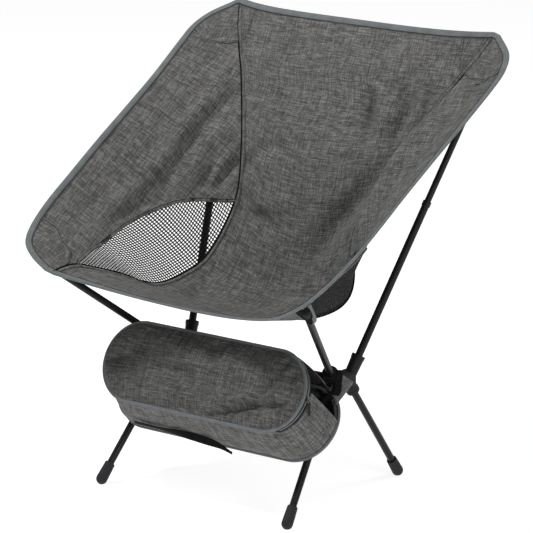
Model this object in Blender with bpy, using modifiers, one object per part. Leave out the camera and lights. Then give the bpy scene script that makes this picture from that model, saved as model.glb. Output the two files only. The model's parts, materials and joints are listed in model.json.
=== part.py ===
"""Ultralight backpacking chair: pole frame with two moulded hubs, a sewn bucket sling and a carry pouch.

Metres, +Z up. The chair faces -Y and is symmetric about X = 0. The origin is on the ground under the
middle of the chair. Every right-hand piece (+X) has a left-hand twin, made by the same function with
side = -1.
"""
import math

import bmesh
import bpy
import numpy as np
from mathutils import Matrix, Vector

CHAIR = "ultralight_chair"

# ---- frame: joint centres and tips of the right-hand side -------------------------------------------
FRONT_JOINT = (0.1476, -0.035, 0.182)     # front post and front leg meet in the hub
REAR_JOINT = (0.1476, -0.001, 0.1745)     # back post and rear leg meet in the hub
FRONT_FOOT = (0.172, -0.1725, 0.0075)     # centre of the foot's ball
REAR_FOOT = (0.1423, 0.1298, 0.0075)
FRONT_TIP = (0.2414, -0.2207, 0.3356)     # end of the front post, inside its sling pocket
BACK_TIP = (0.2356, 0.2232, 0.6230)

LEG_RADIUS = 0.0053
FRONT_POST_RADIUS = 0.0052
BACK_LOWER_RADIUS = 0.0056
BACK_UPPER_RADIUS = 0.0048
TUBE_WALL = 0.0006
BACK_LOWER_END = 0.282                    # from the rear joint to the lower section's mouth
BACK_OVERLAP = 0.040                      # how deep the upper section sits in the lower one
FERRULE_LENGTH = 0.010
CORD_RADIUS = 0.00125
CLEARANCE = 0.0003

# ---- hub ---------------------------------------------------------------------------------------------
SOCKET_RADIUS = 0.0095
POST_SOCKETS = (0.027, 0.040)             # reach of the front and back post sockets
LEG_SOCKETS = (0.028, 0.023)              # reach of the front and rear leg sockets
SOCKET_FLOOR = 0.010                      # from the joint centre to the bottom of each socket
CROSS_TUBE_RADIUS = 0.0065
CROSS_SOCKET_RADIUS = 0.0100
CROSS_SOCKET_REACH = 0.030                # how far the cross tube's socket stands in from the hub
CROSS_TUBE_FLOOR = 0.002
HUB_CORE = (0.021, 0.054, 0.024)
HUB_CORE_BEVEL = 0.005

# ---- feet and tips -----------------------------------------------------------------------------------
FOOT_BALL_RADIUS = 0.0085
FOOT_MOUTH_RADIUS = 0.0076
FOOT_REACH = 0.0265                       # from the ball's centre to the cap's mouth
FOOT_FLOOR = 0.009                        # from the ball's centre to the bottom of its bore
TIP_RADIUS = 0.0058
TIP_SHANK_RADIUS = 0.0038
TIP_SHANK_LENGTH = 0.014
POCKET_BORE = 0.0063
POCKET_WALL = 0.0009
POCKET_LENGTH = 0.036

# ---- sling: stations from the front edge to the top edge ----------------------------------------------
# Each station gives the middle of the sling, its seam and its rim, and how full the middle panel hangs
# between its seams (1 is a V, 2 a parabola, more is flat in the middle).
STATIONS = [
    ((0, -0.1650, 0.2870), (0.2050, -0.2370, 0.3240), (0.2162, -0.2406, 0.3290), 2.1),
    ((0, -0.1400, 0.2780), (0.2060, -0.2120, 0.3270), (0.2426, -0.2378, 0.3442), 2.0),
    ((0, -0.1110, 0.2680), (0.2010, -0.1800, 0.3250), (0.2619, -0.2293, 0.3600), 1.8),
    ((0, -0.0750, 0.2600), (0.1720, -0.1256, 0.3056), (0.2730, -0.2060, 0.3780), 2.0),
    ((0, -0.0350, 0.2565), (0.1490, -0.0784, 0.2853), (0.2800, -0.1640, 0.4050), 2.2),
    ((0, 0.0030, 0.2600), (0.1455, -0.0135, 0.2883), (0.2820, -0.1110, 0.4370), 2.2),
    ((0, 0.0400, 0.2830), (0.1353, 0.0361, 0.3132), (0.2830, -0.0450, 0.4780), 2.0),
    ((0, 0.0730, 0.3480), (0.1215, 0.0807, 0.3861), (0.2840, 0.0250, 0.5190), 2.0),
    ((0, 0.1030, 0.4350), (0.1347, 0.1125, 0.4604), (0.2860, 0.0900, 0.5570), 2.0),
    ((0, 0.1520, 0.5450), (0.1777, 0.1667, 0.5502), (0.2890, 0.1550, 0.5985), 2.4),
    ((0, 0.1730, 0.5880), (0.1995, 0.1890, 0.5880), (0.2870, 0.1820, 0.6175), 2.8),
    ((0, 0.1910, 0.6220), (0.2190, 0.2110, 0.6220), (0.2740, 0.2080, 0.6345), 3.2),
    ((0, 0.2074, 0.6535), (0.2340, 0.2345, 0.6565), (0.2420, 0.2325, 0.6530), 4.0),
]
SLING_THICKNESS = 0.0020
SEAM_GAP = 0.0012                         # from a seam line to the panel beside it
BINDING_WIDTH = 0.0080
BINDING_THICKNESS = 0.0030
EDGE_INSET = BINDING_WIDTH + 0.0025     # from the sling outline to the panels inside it
SIDE_START = 0.085                        # a side panel runs between these fractions of the seam
SIDE_END = 0.935
SIDE_BOW = 0.012                          # how far a side panel bows in towards the sitter
BOW_START, BOW_LENGTH = 0.12, 0.66        # along the seam
MESH_START = 0.170                        # the mesh leaf runs between these fractions of the seam
MESH_END = 0.582
MESH_WIDTH = 0.50                         # its widest part, as a share of the side panel

# ---- pouch: a slanting bag between the front legs and the front posts ---------------------------------
LID_HALF = 0.1838                         # half lengths, end to end
BACK_HALF = 0.1960
POUCH_END_RADIUS = 0.0614                 # both panels are twice this high
LID_HINGE = (0.0, -0.1767, 0.1335)        # middle of the lid's lower edge
LID_TILT = 62.1                           # degrees from level
BACK_FOOT = (0.0, -0.1245, 0.0805)        # middle of the back panel's lower edge
BACK_TILT = 54.8
PANEL_THICKNESS = 0.0024
POUCH_BINDING_RADIUS = 0.0022
PANEL_INSET = 0.0048
TAPE_WIDTH = 0.005
TAPE_THICKNESS = 0.0010
GUSSET_THICKNESS = 0.0016
ARC_STEPS = 9


# ---- small helpers -----------------------------------------------------------------------------------
def mirrored(point, side):
    """A right-hand point, or its left-hand twin where side is -1."""
    return Vector((point[0] * side, point[1], point[2]))


def side_name(side):
    return "right" if side > 0 else "left"


def clear_scene():
    for obj in list(bpy.data.objects):
        bpy.data.objects.remove(obj, do_unlink=True)


def make_collection(name):
    collection = bpy.data.collections.new(name)
    bpy.context.scene.collection.children.link(collection)
    return collection


def make_material(name, colour, roughness, metallic=0.0):
    material = bpy.data.materials.new(name)
    material.use_nodes = True
    shader = material.node_tree.nodes["Principled BSDF"]
    shader.inputs["Base Color"].default_value = (*colour, 1.0)
    shader.inputs["Roughness"].default_value = roughness
    shader.inputs["Metallic"].default_value = metallic
    return material


def add_object(name, data, material=None, collection=None):
    obj = bpy.data.objects.new(name, data)
    collection = collection or PARTS
    collection.objects.link(obj)
    if material:
        data.materials.append(material)
    if collection is CUTTERS:
        obj.hide_render = True
        obj.display_type = "WIRE"
    return obj


def aim(obj, start, direction):
    """Put an object's origin at start with its local +Z along direction."""
    obj.location = start
    obj.rotation_mode = "QUATERNION"
    obj.rotation_quaternion = Vector(direction).to_track_quat("Z", "Y")
    return obj


def smooth(obj, angle=40.0):
    obj.data.shade_smooth()
    obj.data.set_sharp_from_angle(angle=math.radians(angle))


def turned(name, profile, start, direction, material, steps=24, collection=None, ring=False):
    """A turned piece. The profile is (radius, height) points, down the outer side from the top."""
    mesh = bpy.data.meshes.new(name)
    points = [(radius, 0.0, height) for radius, height in profile]
    edges = [(k, k + 1) for k in range(len(points) - 1)]
    if ring:
        edges.append((len(points) - 1, 0))
    mesh.from_pydata(points, edges, [])
    obj = aim(add_object(name, mesh, material, collection), start, direction)
    screw = obj.modifiers.new("turn", "SCREW")
    screw.steps = steps
    screw.render_steps = steps
    screw.use_merge_vertices = True
    screw.merge_threshold = 0.00002
    screw.use_smooth_shade = True
    return obj


def hollow_tube(name, start, end, radius, material, wall=TUBE_WALL):
    """A drawn tube with open ends."""
    start = Vector(start)
    run = Vector(end) - start
    inner = radius - wall
    profile = [(radius, run.length), (radius, 0.0), (inner, 0.0), (inner, run.length)]
    return turned(name, profile, start, run, material, steps=16, ring=True)


def solid_rod(name, start, end, radius, material):
    """A straight cord, drawn as a bevelled curve with filled caps."""
    curve = bpy.data.curves.new(name, "CURVE")
    curve.dimensions = "3D"
    curve.bevel_depth = radius
    curve.bevel_resolution = 2
    curve.use_fill_caps = True
    spline = curve.splines.new("POLY")
    spline.points.add(1)
    length = (Vector(end) - Vector(start)).length
    spline.points[0].co = (0, 0, 0, 1)
    spline.points[1].co = (0, 0, length, 1)
    return aim(add_object(name, curve, material), start, Vector(end) - Vector(start))


def cutter_cylinder(name, start, direction, radius, length, steps=16):
    profile = [(0.0, length), (radius, length), (radius, 0.0), (0.0, 0.0)]
    return turned(name, profile, start, direction, None, steps, CUTTERS)


def boolean(obj, other, operation):
    modifier = obj.modifiers.new(other.name, "BOOLEAN")
    modifier.operation = operation
    modifier.solver = "EXACT"
    modifier.object = other
    return modifier


# ---- frame pieces ------------------------------------------------------------------------------------
def socket_axes(side):
    """The four poles that a hub holds: joint centre, direction, pole radius and socket reach."""
    front = mirrored(FRONT_JOINT, side)
    rear = mirrored(REAR_JOINT, side)
    ends = [
        (front, mirrored(FRONT_TIP, side), FRONT_POST_RADIUS, POST_SOCKETS[0]),
        (front, mirrored(FRONT_FOOT, side), LEG_RADIUS, LEG_SOCKETS[0]),
        (rear, mirrored(BACK_TIP, side), BACK_LOWER_RADIUS, POST_SOCKETS[1]),
        (rear, mirrored(REAR_FOOT, side), LEG_RADIUS, LEG_SOCKETS[1]),
    ]
    return [(joint, (end - joint).normalized(), radius, reach) for joint, end, radius, reach in ends]


def cross_axis(side):
    """Where the cross tube enters the hub, and the direction towards the chair's middle."""
    middle = (mirrored(FRONT_JOINT, side) + mirrored(REAR_JOINT, side)) / 2
    return middle, Vector((-side, 0.0, 0.0))


def hub_core(name, side, material):
    middle, _ = cross_axis(side)
    mesh = bpy.data.meshes.new(name)
    form = bmesh.new()
    bmesh.ops.create_cube(form, size=1.0)
    bmesh.ops.scale(form, vec=HUB_CORE, verts=form.verts)
    form.to_mesh(mesh)
    form.free()
    obj = add_object(name, mesh, material)
    obj.location = middle
    bevel = obj.modifiers.new("rounding", "BEVEL")
    bevel.width = HUB_CORE_BEVEL
    bevel.segments = 3
    return obj


def make_hub(side, material):
    """One moulding: a core, four flared pole sockets and the cross tube's socket."""
    tag = side_name(side)
    hub = hub_core(f"hub_{tag}", side, material)
    flare = SOCKET_RADIUS + 0.0006
    for k, (joint, direction, _, reach) in enumerate(socket_axes(side)):
        lip = reach - 0.005
        root = 0.0004 * k
        profile = [(0.0, reach), (flare, reach), (flare, lip), (SOCKET_RADIUS, lip - 0.002),
                   (SOCKET_RADIUS - 0.001, root), (0.0, root)]
        barrel = turned(f"socket_{tag}_{k}", profile, joint, direction, None, 18, CUTTERS)
        boolean(hub, barrel, "UNION")
    middle, inward = cross_axis(side)
    barrel = cutter_cylinder(f"cross_socket_{tag}", middle, inward, CROSS_SOCKET_RADIUS, CROSS_SOCKET_REACH, 20)
    boolean(hub, barrel, "UNION")
    for k, (joint, direction, radius, reach) in enumerate(socket_axes(side)):
        start = joint + direction * SOCKET_FLOOR
        bore = cutter_cylinder(f"bore_{tag}_{k}", start, direction, radius + CLEARANCE, reach)
        boolean(hub, bore, "DIFFERENCE")
    start = middle + inward * CROSS_TUBE_FLOOR
    bore = cutter_cylinder(f"cross_bore_{tag}", start, inward, CROSS_TUBE_RADIUS + CLEARANCE, 0.05)
    boolean(hub, bore, "DIFFERENCE")
    return hub


def make_hub_screw(side, material):
    """The screw on the hub's outer face that pins the cross tube's plug."""
    middle, inward = cross_axis(side)
    start = middle - inward * (HUB_CORE[0] / 2 + CLEARANCE)
    head, edge = 0.0036, 0.0006
    profile = [(0.0, 0.0018), (head - edge, 0.0018), (head, 0.0012), (head, 0.0), (0.0, 0.0)]
    return turned(f"hub_screw_{side_name(side)}", profile, start, -inward, material, 16)


def make_foot(name, joint, ball, material):
    """A rubber cap, bored for the leg, with a ball end worn flat where it meets the ground."""
    upward = (joint - ball).normalized()
    bore = LEG_RADIUS + CLEARANCE
    ball_arc = [(FOOT_BALL_RADIUS * math.cos(a), -FOOT_BALL_RADIUS * math.sin(a))
                for a in np.linspace(0.0, math.pi / 2, 5)]
    ball_arc[-1] = (0.0, -FOOT_BALL_RADIUS)
    profile = [(bore, FOOT_REACH), (FOOT_MOUTH_RADIUS - 0.0005, FOOT_REACH),
               (FOOT_MOUTH_RADIUS, FOOT_REACH - 0.001), *ball_arc]
    profile = [(0.0, FOOT_FLOOR), (bore, FOOT_FLOOR), *profile]
    foot = turned(name, profile, ball, upward, material, 16)
    slab = bpy.data.meshes.new(f"{name}_ground")
    form = bmesh.new()
    bmesh.ops.create_cube(form, size=0.06)
    form.to_mesh(slab)
    form.free()
    ground = add_object(f"{name}_ground", slab, None, CUTTERS)
    ground.location = (ball.x, ball.y, -0.03)
    boolean(foot, ground, "DIFFERENCE")
    return foot


def make_leg(kind, side, joint, ball, tube, rubber, cord):
    """A leg tube from the hub's socket to its foot cap, with the shock cord inside it."""
    tag = f"{kind}_{side_name(side)}"
    joint = mirrored(joint, side)
    ball = mirrored(ball, side)
    down = (ball - joint).normalized()
    top = joint + down * (SOCKET_FLOOR + CLEARANCE)
    bottom = ball - down * (FOOT_FLOOR + CLEARANCE)
    hollow_tube(f"{kind}_leg_{side_name(side)}", top, bottom, LEG_RADIUS, tube)
    make_foot(f"foot_cap_{tag}", joint, ball, rubber)
    solid_rod(f"shock_cord_{tag}", top, bottom, CORD_RADIUS, cord)


def make_tip(name, tip, direction, bore, material):
    """A rounded plug pressed into the end of a post."""
    shank = min(TIP_SHANK_RADIUS, bore - CLEARANCE)
    arc = [(TIP_RADIUS * math.cos(a), TIP_RADIUS * math.sin(a)) for a in np.linspace(math.pi / 2, 0.0, 4)]
    arc[0] = (0.0, TIP_RADIUS)
    profile = [*arc, (TIP_RADIUS, -0.001), (shank, -0.001 - CLEARANCE / 2),
               (shank, -TIP_SHANK_LENGTH), (0.0, -TIP_SHANK_LENGTH)]
    centre = tip - direction * TIP_RADIUS
    return turned(name, profile, centre, direction, material, 14)


def make_pocket(name, tip, direction, material):
    """The sewn sleeve at a corner of the sling that holds a post's tip: a deep cup, open below."""
    wall = POCKET_BORE + POCKET_WALL
    roof = TIP_RADIUS - POCKET_BORE - 0.0004
    outer = [(wall * math.sin(a), roof + wall * math.cos(a)) for a in np.linspace(0.0, math.pi / 2, 4)]
    inner = [(POCKET_BORE * math.sin(a), roof + POCKET_BORE * math.cos(a))
             for a in np.linspace(math.pi / 2, 0.0, 4)]
    outer[0] = (0.0, roof + wall)
    inner[-1] = (0.0, roof + POCKET_BORE)
    foot = roof - POCKET_LENGTH
    profile = [*outer, (wall, foot), (POCKET_BORE, foot), *inner]
    centre = tip - direction * (TIP_RADIUS - 0.0008)
    return turned(name, profile, centre, direction, material, 14)


def make_front_post(side, tube, plastic, fabric):
    tag = side_name(side)
    joint = mirrored(FRONT_JOINT, side)
    tip = mirrored(FRONT_TIP, side)
    up = (tip - joint).normalized()
    top = tip - up * (TIP_RADIUS + 0.001 + CLEARANCE)
    hollow_tube(f"front_post_{tag}", joint + up * (SOCKET_FLOOR + CLEARANCE), top, FRONT_POST_RADIUS, tube)
    make_tip(f"front_tip_{tag}", tip, up, FRONT_POST_RADIUS - TUBE_WALL, plastic)
    make_pocket(f"front_pocket_{tag}", tip, up, fabric)


def make_back_post(side, tube, steel, plastic, cord, fabric):
    """Two telescoping sections with a ferrule at the lower one's mouth and a shock cord through both."""
    tag = side_name(side)
    joint = mirrored(REAR_JOINT, side)
    tip = mirrored(BACK_TIP, side)
    up = (tip - joint).normalized()
    foot = joint + up * (SOCKET_FLOOR + CLEARANCE)
    mouth = joint + up * BACK_LOWER_END
    heel = mouth - up * BACK_OVERLAP
    top = tip - up * (TIP_RADIUS + 0.001 + CLEARANCE)
    hollow_tube(f"back_post_lower_{tag}", foot, mouth, BACK_LOWER_RADIUS, tube, 0.0005)
    hollow_tube(f"back_post_upper_{tag}", heel, top, BACK_UPPER_RADIUS, tube)
    ring_start = mouth - up * (FERRULE_LENGTH - 0.002)
    rim = BACK_LOWER_RADIUS + CLEARANCE
    profile = [(rim + 0.0005, FERRULE_LENGTH - 0.002 - CLEARANCE), (rim + 0.0005, 0.0), (rim, 0.0),
               (rim, FERRULE_LENGTH - 0.002 - CLEARANCE)]
    turned(f"ferrule_{tag}", profile, ring_start, up, steel, 16, ring=True)
    make_tip(f"back_tip_{tag}", tip, up, BACK_UPPER_RADIUS - TUBE_WALL, plastic)
    cord_end = tip - up * (TIP_RADIUS + TIP_SHANK_LENGTH + CLEARANCE)
    solid_rod(f"shock_cord_back_{tag}", foot, cord_end, CORD_RADIUS, cord)
    make_pocket(f"back_pocket_{tag}", tip, up, fabric)


def make_cross_tube(material):
    right, inward = cross_axis(1)
    left, _ = cross_axis(-1)
    depth = CROSS_TUBE_FLOOR + CLEARANCE
    return hollow_tube("cross_tube", right + inward * depth, left - inward * depth, CROSS_TUBE_RADIUS,
                       material, 0.0010)


# ---- sling -------------------------------------------------------------------------------------------
def catmull(points, t):
    """A point on a smooth line through the given points, t from 0 to 1."""
    last = len(points) - 1
    k = min(int(t * last), last - 1)
    f = t * last - k
    p1 = points[k]
    p2 = points[k + 1]
    p0 = points[k - 1] if k else 2 * p1 - p2
    p3 = points[k + 2] if k + 2 <= last else 2 * p2 - p1
    return 0.5 * (2 * p1 + (p2 - p0) * f + (2 * p0 - 5 * p1 + 4 * p2 - p3) * f * f
                  + (3 * p1 - p0 - 3 * p2 + p3) * f ** 3)


SPINE = np.array([station[0] for station in STATIONS], float)
SEAM = np.array([station[1] for station in STATIONS], float)
RIM = np.array([station[2] for station in STATIONS], float)
FULLNESS = np.array([station[3] for station in STATIONS], float)


def middle_point(u, v):
    """The middle panel: u from -1 to 1 across, v from 0 at the front edge to 1 at the top."""
    spine = catmull(SPINE, v)
    seam = catmull(SEAM, v)
    share = abs(u) ** catmull(FULLNESS, v)
    point = spine + (seam - spine) * share
    point[0] = seam[0] * u
    return point


def side_point(w, v, side=1):
    """A side panel: w from 0 at the seam to 1 at the rim."""
    seam = catmull(SEAM, v)
    across = catmull(RIM, v) - seam
    along = catmull(SEAM, min(v + 0.02, 1.0)) - catmull(SEAM, max(v - 0.02, 0.0))
    inward = np.cross(across, along)
    share = min(max((v - BOW_START) / BOW_LENGTH, 0.0), 1.0)
    bow = SIDE_BOW * 4.0 * w * (1.0 - w) * math.sin(math.pi * share)
    point = seam + across * w + inward * bow / np.linalg.norm(inward)
    point[0] *= side
    return point


def mesh_edge(v):
    """How far the mesh leaf reaches from the seam, as a share of the side panel."""
    s = (v - MESH_START) / (MESH_END - MESH_START)
    if s <= 0.0 or s >= 1.0:
        return 0.0
    return MESH_WIDTH * math.sqrt(4.0 * s * (1.0 - s))


def sheet(name, rows, thickness, material):
    """A thin closed sheet through rows of points."""
    across = len(rows[0])
    mesh = bpy.data.meshes.new(name)
    points = [tuple(point) for row in rows for point in row]
    faces = [(r * across + c, r * across + c + 1, (r + 1) * across + c + 1, (r + 1) * across + c)
             for r in range(len(rows) - 1) for c in range(across - 1)]
    mesh.from_pydata(points, [], faces)
    obj = add_object(name, mesh, material)
    skin = obj.modifiers.new("thickness", "SOLIDIFY")
    skin.thickness = thickness
    skin.offset = 0.0
    smooth(obj, 60.0)
    return obj


def length_at(function, v):
    return float(np.linalg.norm(function(1.0, v) - function(0.0, v)))


def clear_share(start, end, outline, place):
    """Walk from start towards end until the placed point is clear of the binding."""
    for share in np.linspace(start, end, 240):
        if np.linalg.norm(outline - place(share), axis=1).min() > EDGE_INSET:
            return share
    return end


def seam_rows():
    """The rows at which the panels beside a seam are drawn, close together round the mesh leaf."""
    leaf = (1.0 - np.cos(np.linspace(0.0, math.pi, 15))) / 2.0
    below = np.linspace(SIDE_START, MESH_START, 4)[:-1]
    above = np.linspace(MESH_END, SIDE_END, 9)[1:]
    return [*below, *(MESH_START + (MESH_END - MESH_START) * leaf), *above]


def fine_outline():
    return np.array([point for point, _ in rim_loop(400, 150)])


def make_middle_panel(material):
    """Seat and back in one piece, inside the seams and the binding."""
    outline = fine_outline()
    columns = []
    for share in np.linspace(-1.0, 1.0, 13):
        low = clear_share(0.0, 0.3, outline, lambda v: middle_point(share * 0.99, v))
        high = clear_share(1.0, 0.7, outline, lambda v: middle_point(share * 0.99, v))
        rows = seam_rows()[1:-1]
        column = []
        for v in (low, (low + rows[0]) / 2, *rows, high):
            reach = 1.0 - SEAM_GAP / float(catmull(SEAM, v)[0])
            column.append(middle_point(share * reach, v))
        columns.append(column)
    return sheet("middle_panel", columns, SLING_THICKNESS, material)


def make_side_panel(side, material):
    """Between the seam, or the mesh leaf, and the binding."""
    outline = fine_outline()
    rows = []
    for v in seam_rows():
        width = length_at(side_point, v)
        inner = mesh_edge(v) + SEAM_GAP / width
        outer = clear_share(1.0, inner, outline, lambda w: side_point(w, v))
        rows.append([side_point(w, v, side) for w in np.linspace(inner, outer, 5)])
    return sheet(f"side_panel_{side_name(side)}", rows, SLING_THICKNESS, material)


def make_mesh_panel(side, material):
    """The leaf of open mesh at the hip."""
    rows = []
    for v in (row for row in seam_rows() if mesh_edge(row) > 0.05):
        gap = SEAM_GAP / length_at(side_point, v)
        rows.append([side_point(w, v, side) for w in np.linspace(gap, mesh_edge(v) - gap, 4)])
    return sheet(f"mesh_panel_{side_name(side)}", rows, SLING_THICKNESS, material)


def rim_loop(side_steps=34, end_steps=10):
    """Points right round the sling's edge, each with a point inside the sling to lean towards."""
    inset = 0.12
    right = [(side_point(1.0, v), catmull(SEAM, min(max(v, inset), 1 - inset)))
             for v in np.linspace(0.0, 1.0, side_steps)]
    top = [(middle_point(u, 1.0), middle_point(u, 1 - inset)) for u in np.linspace(0.96, 0.0, end_steps)]
    front = [(middle_point(u, 0.0), middle_point(u, inset)) for u in np.linspace(0.0, 0.96, end_steps)]
    half = front + right + top
    flip = np.array([-1.0, 1.0, 1.0])
    other = [(point * flip, lean * flip) for point, lean in half[::-1]][1:-1]
    return half + other


def make_binding(material):
    """Folded tape all round the rim, as one closed band."""
    loop = rim_loop()
    count = len(loop)
    half = BINDING_THICKNESS / 2
    points = []
    for k, (point, lean) in enumerate(loop):
        tangent = loop[(k + 1) % count][0] - loop[k - 1][0]
        tangent = tangent / np.linalg.norm(tangent)
        inward = lean - point
        inward = inward - tangent * inward.dot(tangent)
        inward = inward / np.linalg.norm(inward)
        normal = np.cross(tangent, inward)
        points += [point + normal * half, point - normal * half,
                   point + inward * BINDING_WIDTH - normal * half,
                   point + inward * BINDING_WIDTH + normal * half]
    faces = []
    for k in range(count):
        here = 4 * k
        there = 4 * ((k + 1) % count)
        faces += [(here + c, there + c, there + (c + 1) % 4, here + (c + 1) % 4) for c in range(4)]
    mesh = bpy.data.meshes.new("sling_binding")
    mesh.from_pydata([tuple(point) for point in points], [], faces)
    form = bmesh.new()
    form.from_mesh(mesh)
    bmesh.ops.recalc_face_normals(form, faces=form.faces)
    form.to_mesh(mesh)
    form.free()
    return add_object("sling_binding", mesh, material)


# ---- pouch -------------------------------------------------------------------------------------------
def oblong(half, inset=0.0):
    """A pouch panel's outline, round at both ends, from the right end's foot anticlockwise.

    x runs along the pouch, y up from the lower edge. The first 2 * ARC_STEPS + 1 points are the right
    end, the rest the left end.
    """
    radius = POUCH_END_RADIUS - inset
    centre = half - POUCH_END_RADIUS
    points = []
    for side, start in ((1, -90.0), (-1, 90.0)):
        for k in range(2 * ARC_STEPS + 1):
            angle = math.radians(start + 90.0 * k / ARC_STEPS)
            points.append((side * centre + radius * math.cos(angle),
                           POUCH_END_RADIUS + radius * math.sin(angle)))
    return points


def panel_frame(name, foot, tilt):
    """An empty at a panel's lower edge: local X along it, local Y up the panel, local Z outwards."""
    empty = bpy.data.objects.new(name, None)
    PARTS.objects.link(empty)
    empty.location = foot
    empty.rotation_euler = (math.radians(tilt), 0.0, 0.0)
    return empty


def plate(name, outline, thickness, parent, material, lift=0.0):
    """A flat panel cut to an outline."""
    curve = bpy.data.curves.new(name, "CURVE")
    curve.dimensions = "2D"
    curve.fill_mode = "BOTH"
    curve.extrude = thickness / 2
    spline = curve.splines.new("POLY")
    spline.points.add(len(outline) - 1)
    for point, (x, y) in zip(spline.points, outline):
        point.co = (x, y, 0.0, 1.0)
    spline.use_cyclic_u = True
    obj = add_object(name, curve, material)
    obj.parent = parent
    obj.location = (0.0, 0.0, lift)
    return obj


def ring_cord(name, outline, radius, parent, material):
    """Binding round a panel's edge."""
    curve = bpy.data.curves.new(name, "CURVE")
    curve.dimensions = "3D"
    curve.bevel_depth = radius
    curve.bevel_resolution = 1
    spline = curve.splines.new("POLY")
    spline.points.add(len(outline) - 1)
    for point, (x, y) in zip(spline.points, outline):
        point.co = (x, y, 0.0, 1.0)
    spline.use_cyclic_u = True
    obj = add_object(name, curve, material)
    obj.parent = parent
    return obj


def panel_matrix(foot, tilt):
    return Matrix.Translation(foot) @ Matrix.Rotation(math.radians(tilt), 4, "X")


def lid_outline(depth):
    """The lid's outline in world space, pushed back from the lid by depth."""
    matrix = panel_matrix(LID_HINGE, LID_TILT)
    return [matrix @ Vector((x, y, -depth)) for x, y in oblong(LID_HALF, POUCH_BINDING_RADIUS)]


def back_outline(lift):
    """The back panel's outline in world space, lifted off the panel towards the lid."""
    matrix = panel_matrix(BACK_FOOT, BACK_TILT)
    return [matrix @ Vector((x, y, lift)) for x, y in oblong(BACK_HALF, POUCH_BINDING_RADIUS)]


def strip(name, near, far, keep, thickness, material, parent=None):
    """A band between two matching outlines, over the outline points that keep lists."""
    rows = [[near[k], far[k]] for k in keep]
    obj = sheet(name, rows, thickness, material)
    if parent:
        obj.data.transform(panel_matrix(LID_HINGE, LID_TILT).inverted())
        obj.parent = parent
    return obj


def make_pouch(fabric, binding, tape, webbing):
    lid = panel_frame("lid_hinge_frame", LID_HINGE, LID_TILT)
    back = panel_frame("back_panel_frame", BACK_FOOT, BACK_TILT)
    for panel, frame, half in (("lid", lid, LID_HALF), ("back", back, BACK_HALF)):
        plate(f"pouch_{panel}", oblong(half, PANEL_INSET), PANEL_THICKNESS, frame, fabric)
        ring_cord(f"{panel}_binding", oblong(half, POUCH_BINDING_RADIUS), POUCH_BINDING_RADIUS, frame, binding)

    right_end = 2 * ARC_STEPS + 1
    total = 2 * right_end
    face = POUCH_BINDING_RADIUS + 0.0004
    seam = face + TAPE_WIDTH
    body = seam + 0.0005 + TAPE_WIDTH
    zip_run = list(range(3, total - 3))
    strip("zip_tape_lid", lid_outline(face), lid_outline(seam), zip_run, TAPE_THICKNESS, tape, lid)
    strip("zip_tape_body", lid_outline(seam + 0.0005), lid_outline(body), zip_run, TAPE_THICKNESS, tape)
    closed_run = list(range(right_end - 3, total)) + list(range(0, ARC_STEPS + 2))
    strip("pouch_gusset", lid_outline(body + 0.0008), back_outline(face), closed_run, GUSSET_THICKNESS, fabric)

    half_width, half_height = 0.0115, 0.0105
    patch = [(0.161 + x, 0.0885 + y) for x, y in ((-half_width, -half_height), (half_width, -half_height),
                                                  (half_width, half_height), (-half_width, half_height))]
    plate("hook_patch", patch, 0.0012, back, webbing, PANEL_THICKNESS / 2 + 0.0006 + CLEARANCE)


def make_zip(plastic, steel):
    """The slider on the right-hand end of the zip, and the pull that hangs from it."""
    matrix = panel_matrix(LID_HINGE, LID_TILT)
    depth = POUCH_BINDING_RADIUS + 0.0004 + TAPE_WIDTH
    reach = LID_HALF - POUCH_BINDING_RADIUS + TAPE_THICKNESS / 2 + CLEARANCE
    body = (0.0030, 0.0095, 0.0075)
    centre = matrix @ Vector((reach + body[0] / 2, POUCH_END_RADIUS, -depth))
    slider = block("zip_slider", body, centre, steel, 0.0008)
    slider.rotation_euler = (math.radians(LID_TILT), 0.0, 0.0)
    pull = (0.0018, 0.0050, 0.0240)
    outward = matrix @ Vector((reach + body[0] + CLEARANCE + pull[0] / 2, POUCH_END_RADIUS, -depth))
    block("zip_pull", pull, outward - Vector((0.0, 0.0, pull[2] / 2 - 0.0004)), plastic, 0.0006)


def block(name, size, centre, material, bevel):
    mesh = bpy.data.meshes.new(name)
    form = bmesh.new()
    bmesh.ops.create_cube(form, size=1.0)
    bmesh.ops.scale(form, vec=size, verts=form.verts)
    form.to_mesh(mesh)
    form.free()
    obj = add_object(name, mesh, material)
    obj.location = centre
    rounding = obj.modifiers.new("rounding", "BEVEL")
    rounding.width = bevel
    rounding.segments = 2
    return obj


def make_hub_strap(side, webbing):
    """A webbing loop round the front leg, just below its socket, that ties the pouch's back to it."""
    joint = mirrored(FRONT_JOINT, side)
    ball = mirrored(FRONT_FOOT, side)
    down = (ball - joint).normalized()
    centre = joint + down * (LEG_SOCKETS[0] + 0.012)
    inner = LEG_RADIUS + CLEARANCE
    wall = 0.0011
    half = 0.0085
    profile = [(inner + wall, half), (inner + wall, -half), (inner, -half), (inner, half)]
    return turned(f"pouch_strap_{side_name(side)}", profile, centre, down, webbing, 16, ring=True)


def make_tail(webbing):
    """The free tail of the pouch's closing strap, along the underside with its end hanging clear."""
    edge = Vector(LID_HINGE)
    across = (Vector(BACK_FOOT) - edge).normalized()
    outward = Vector((0.0, across.z, -across.y))
    rows = []
    for x, drop in ((-0.125, 0.0030), (-0.080, 0.0032), (-0.035, 0.0040), (0.000, 0.0060), (0.030, 0.0130)):
        middle = edge + Vector((x, 0.0, 0.0)) + outward * drop
        rows.append([middle + across * 0.040, middle + across * 0.055])
    return sheet("strap_tail", rows, 0.0014, webbing)


# ---- build -------------------------------------------------------------------------------------------
clear_scene()
PARTS = make_collection(CHAIR)
CUTTERS = make_collection("cutters")

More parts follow.
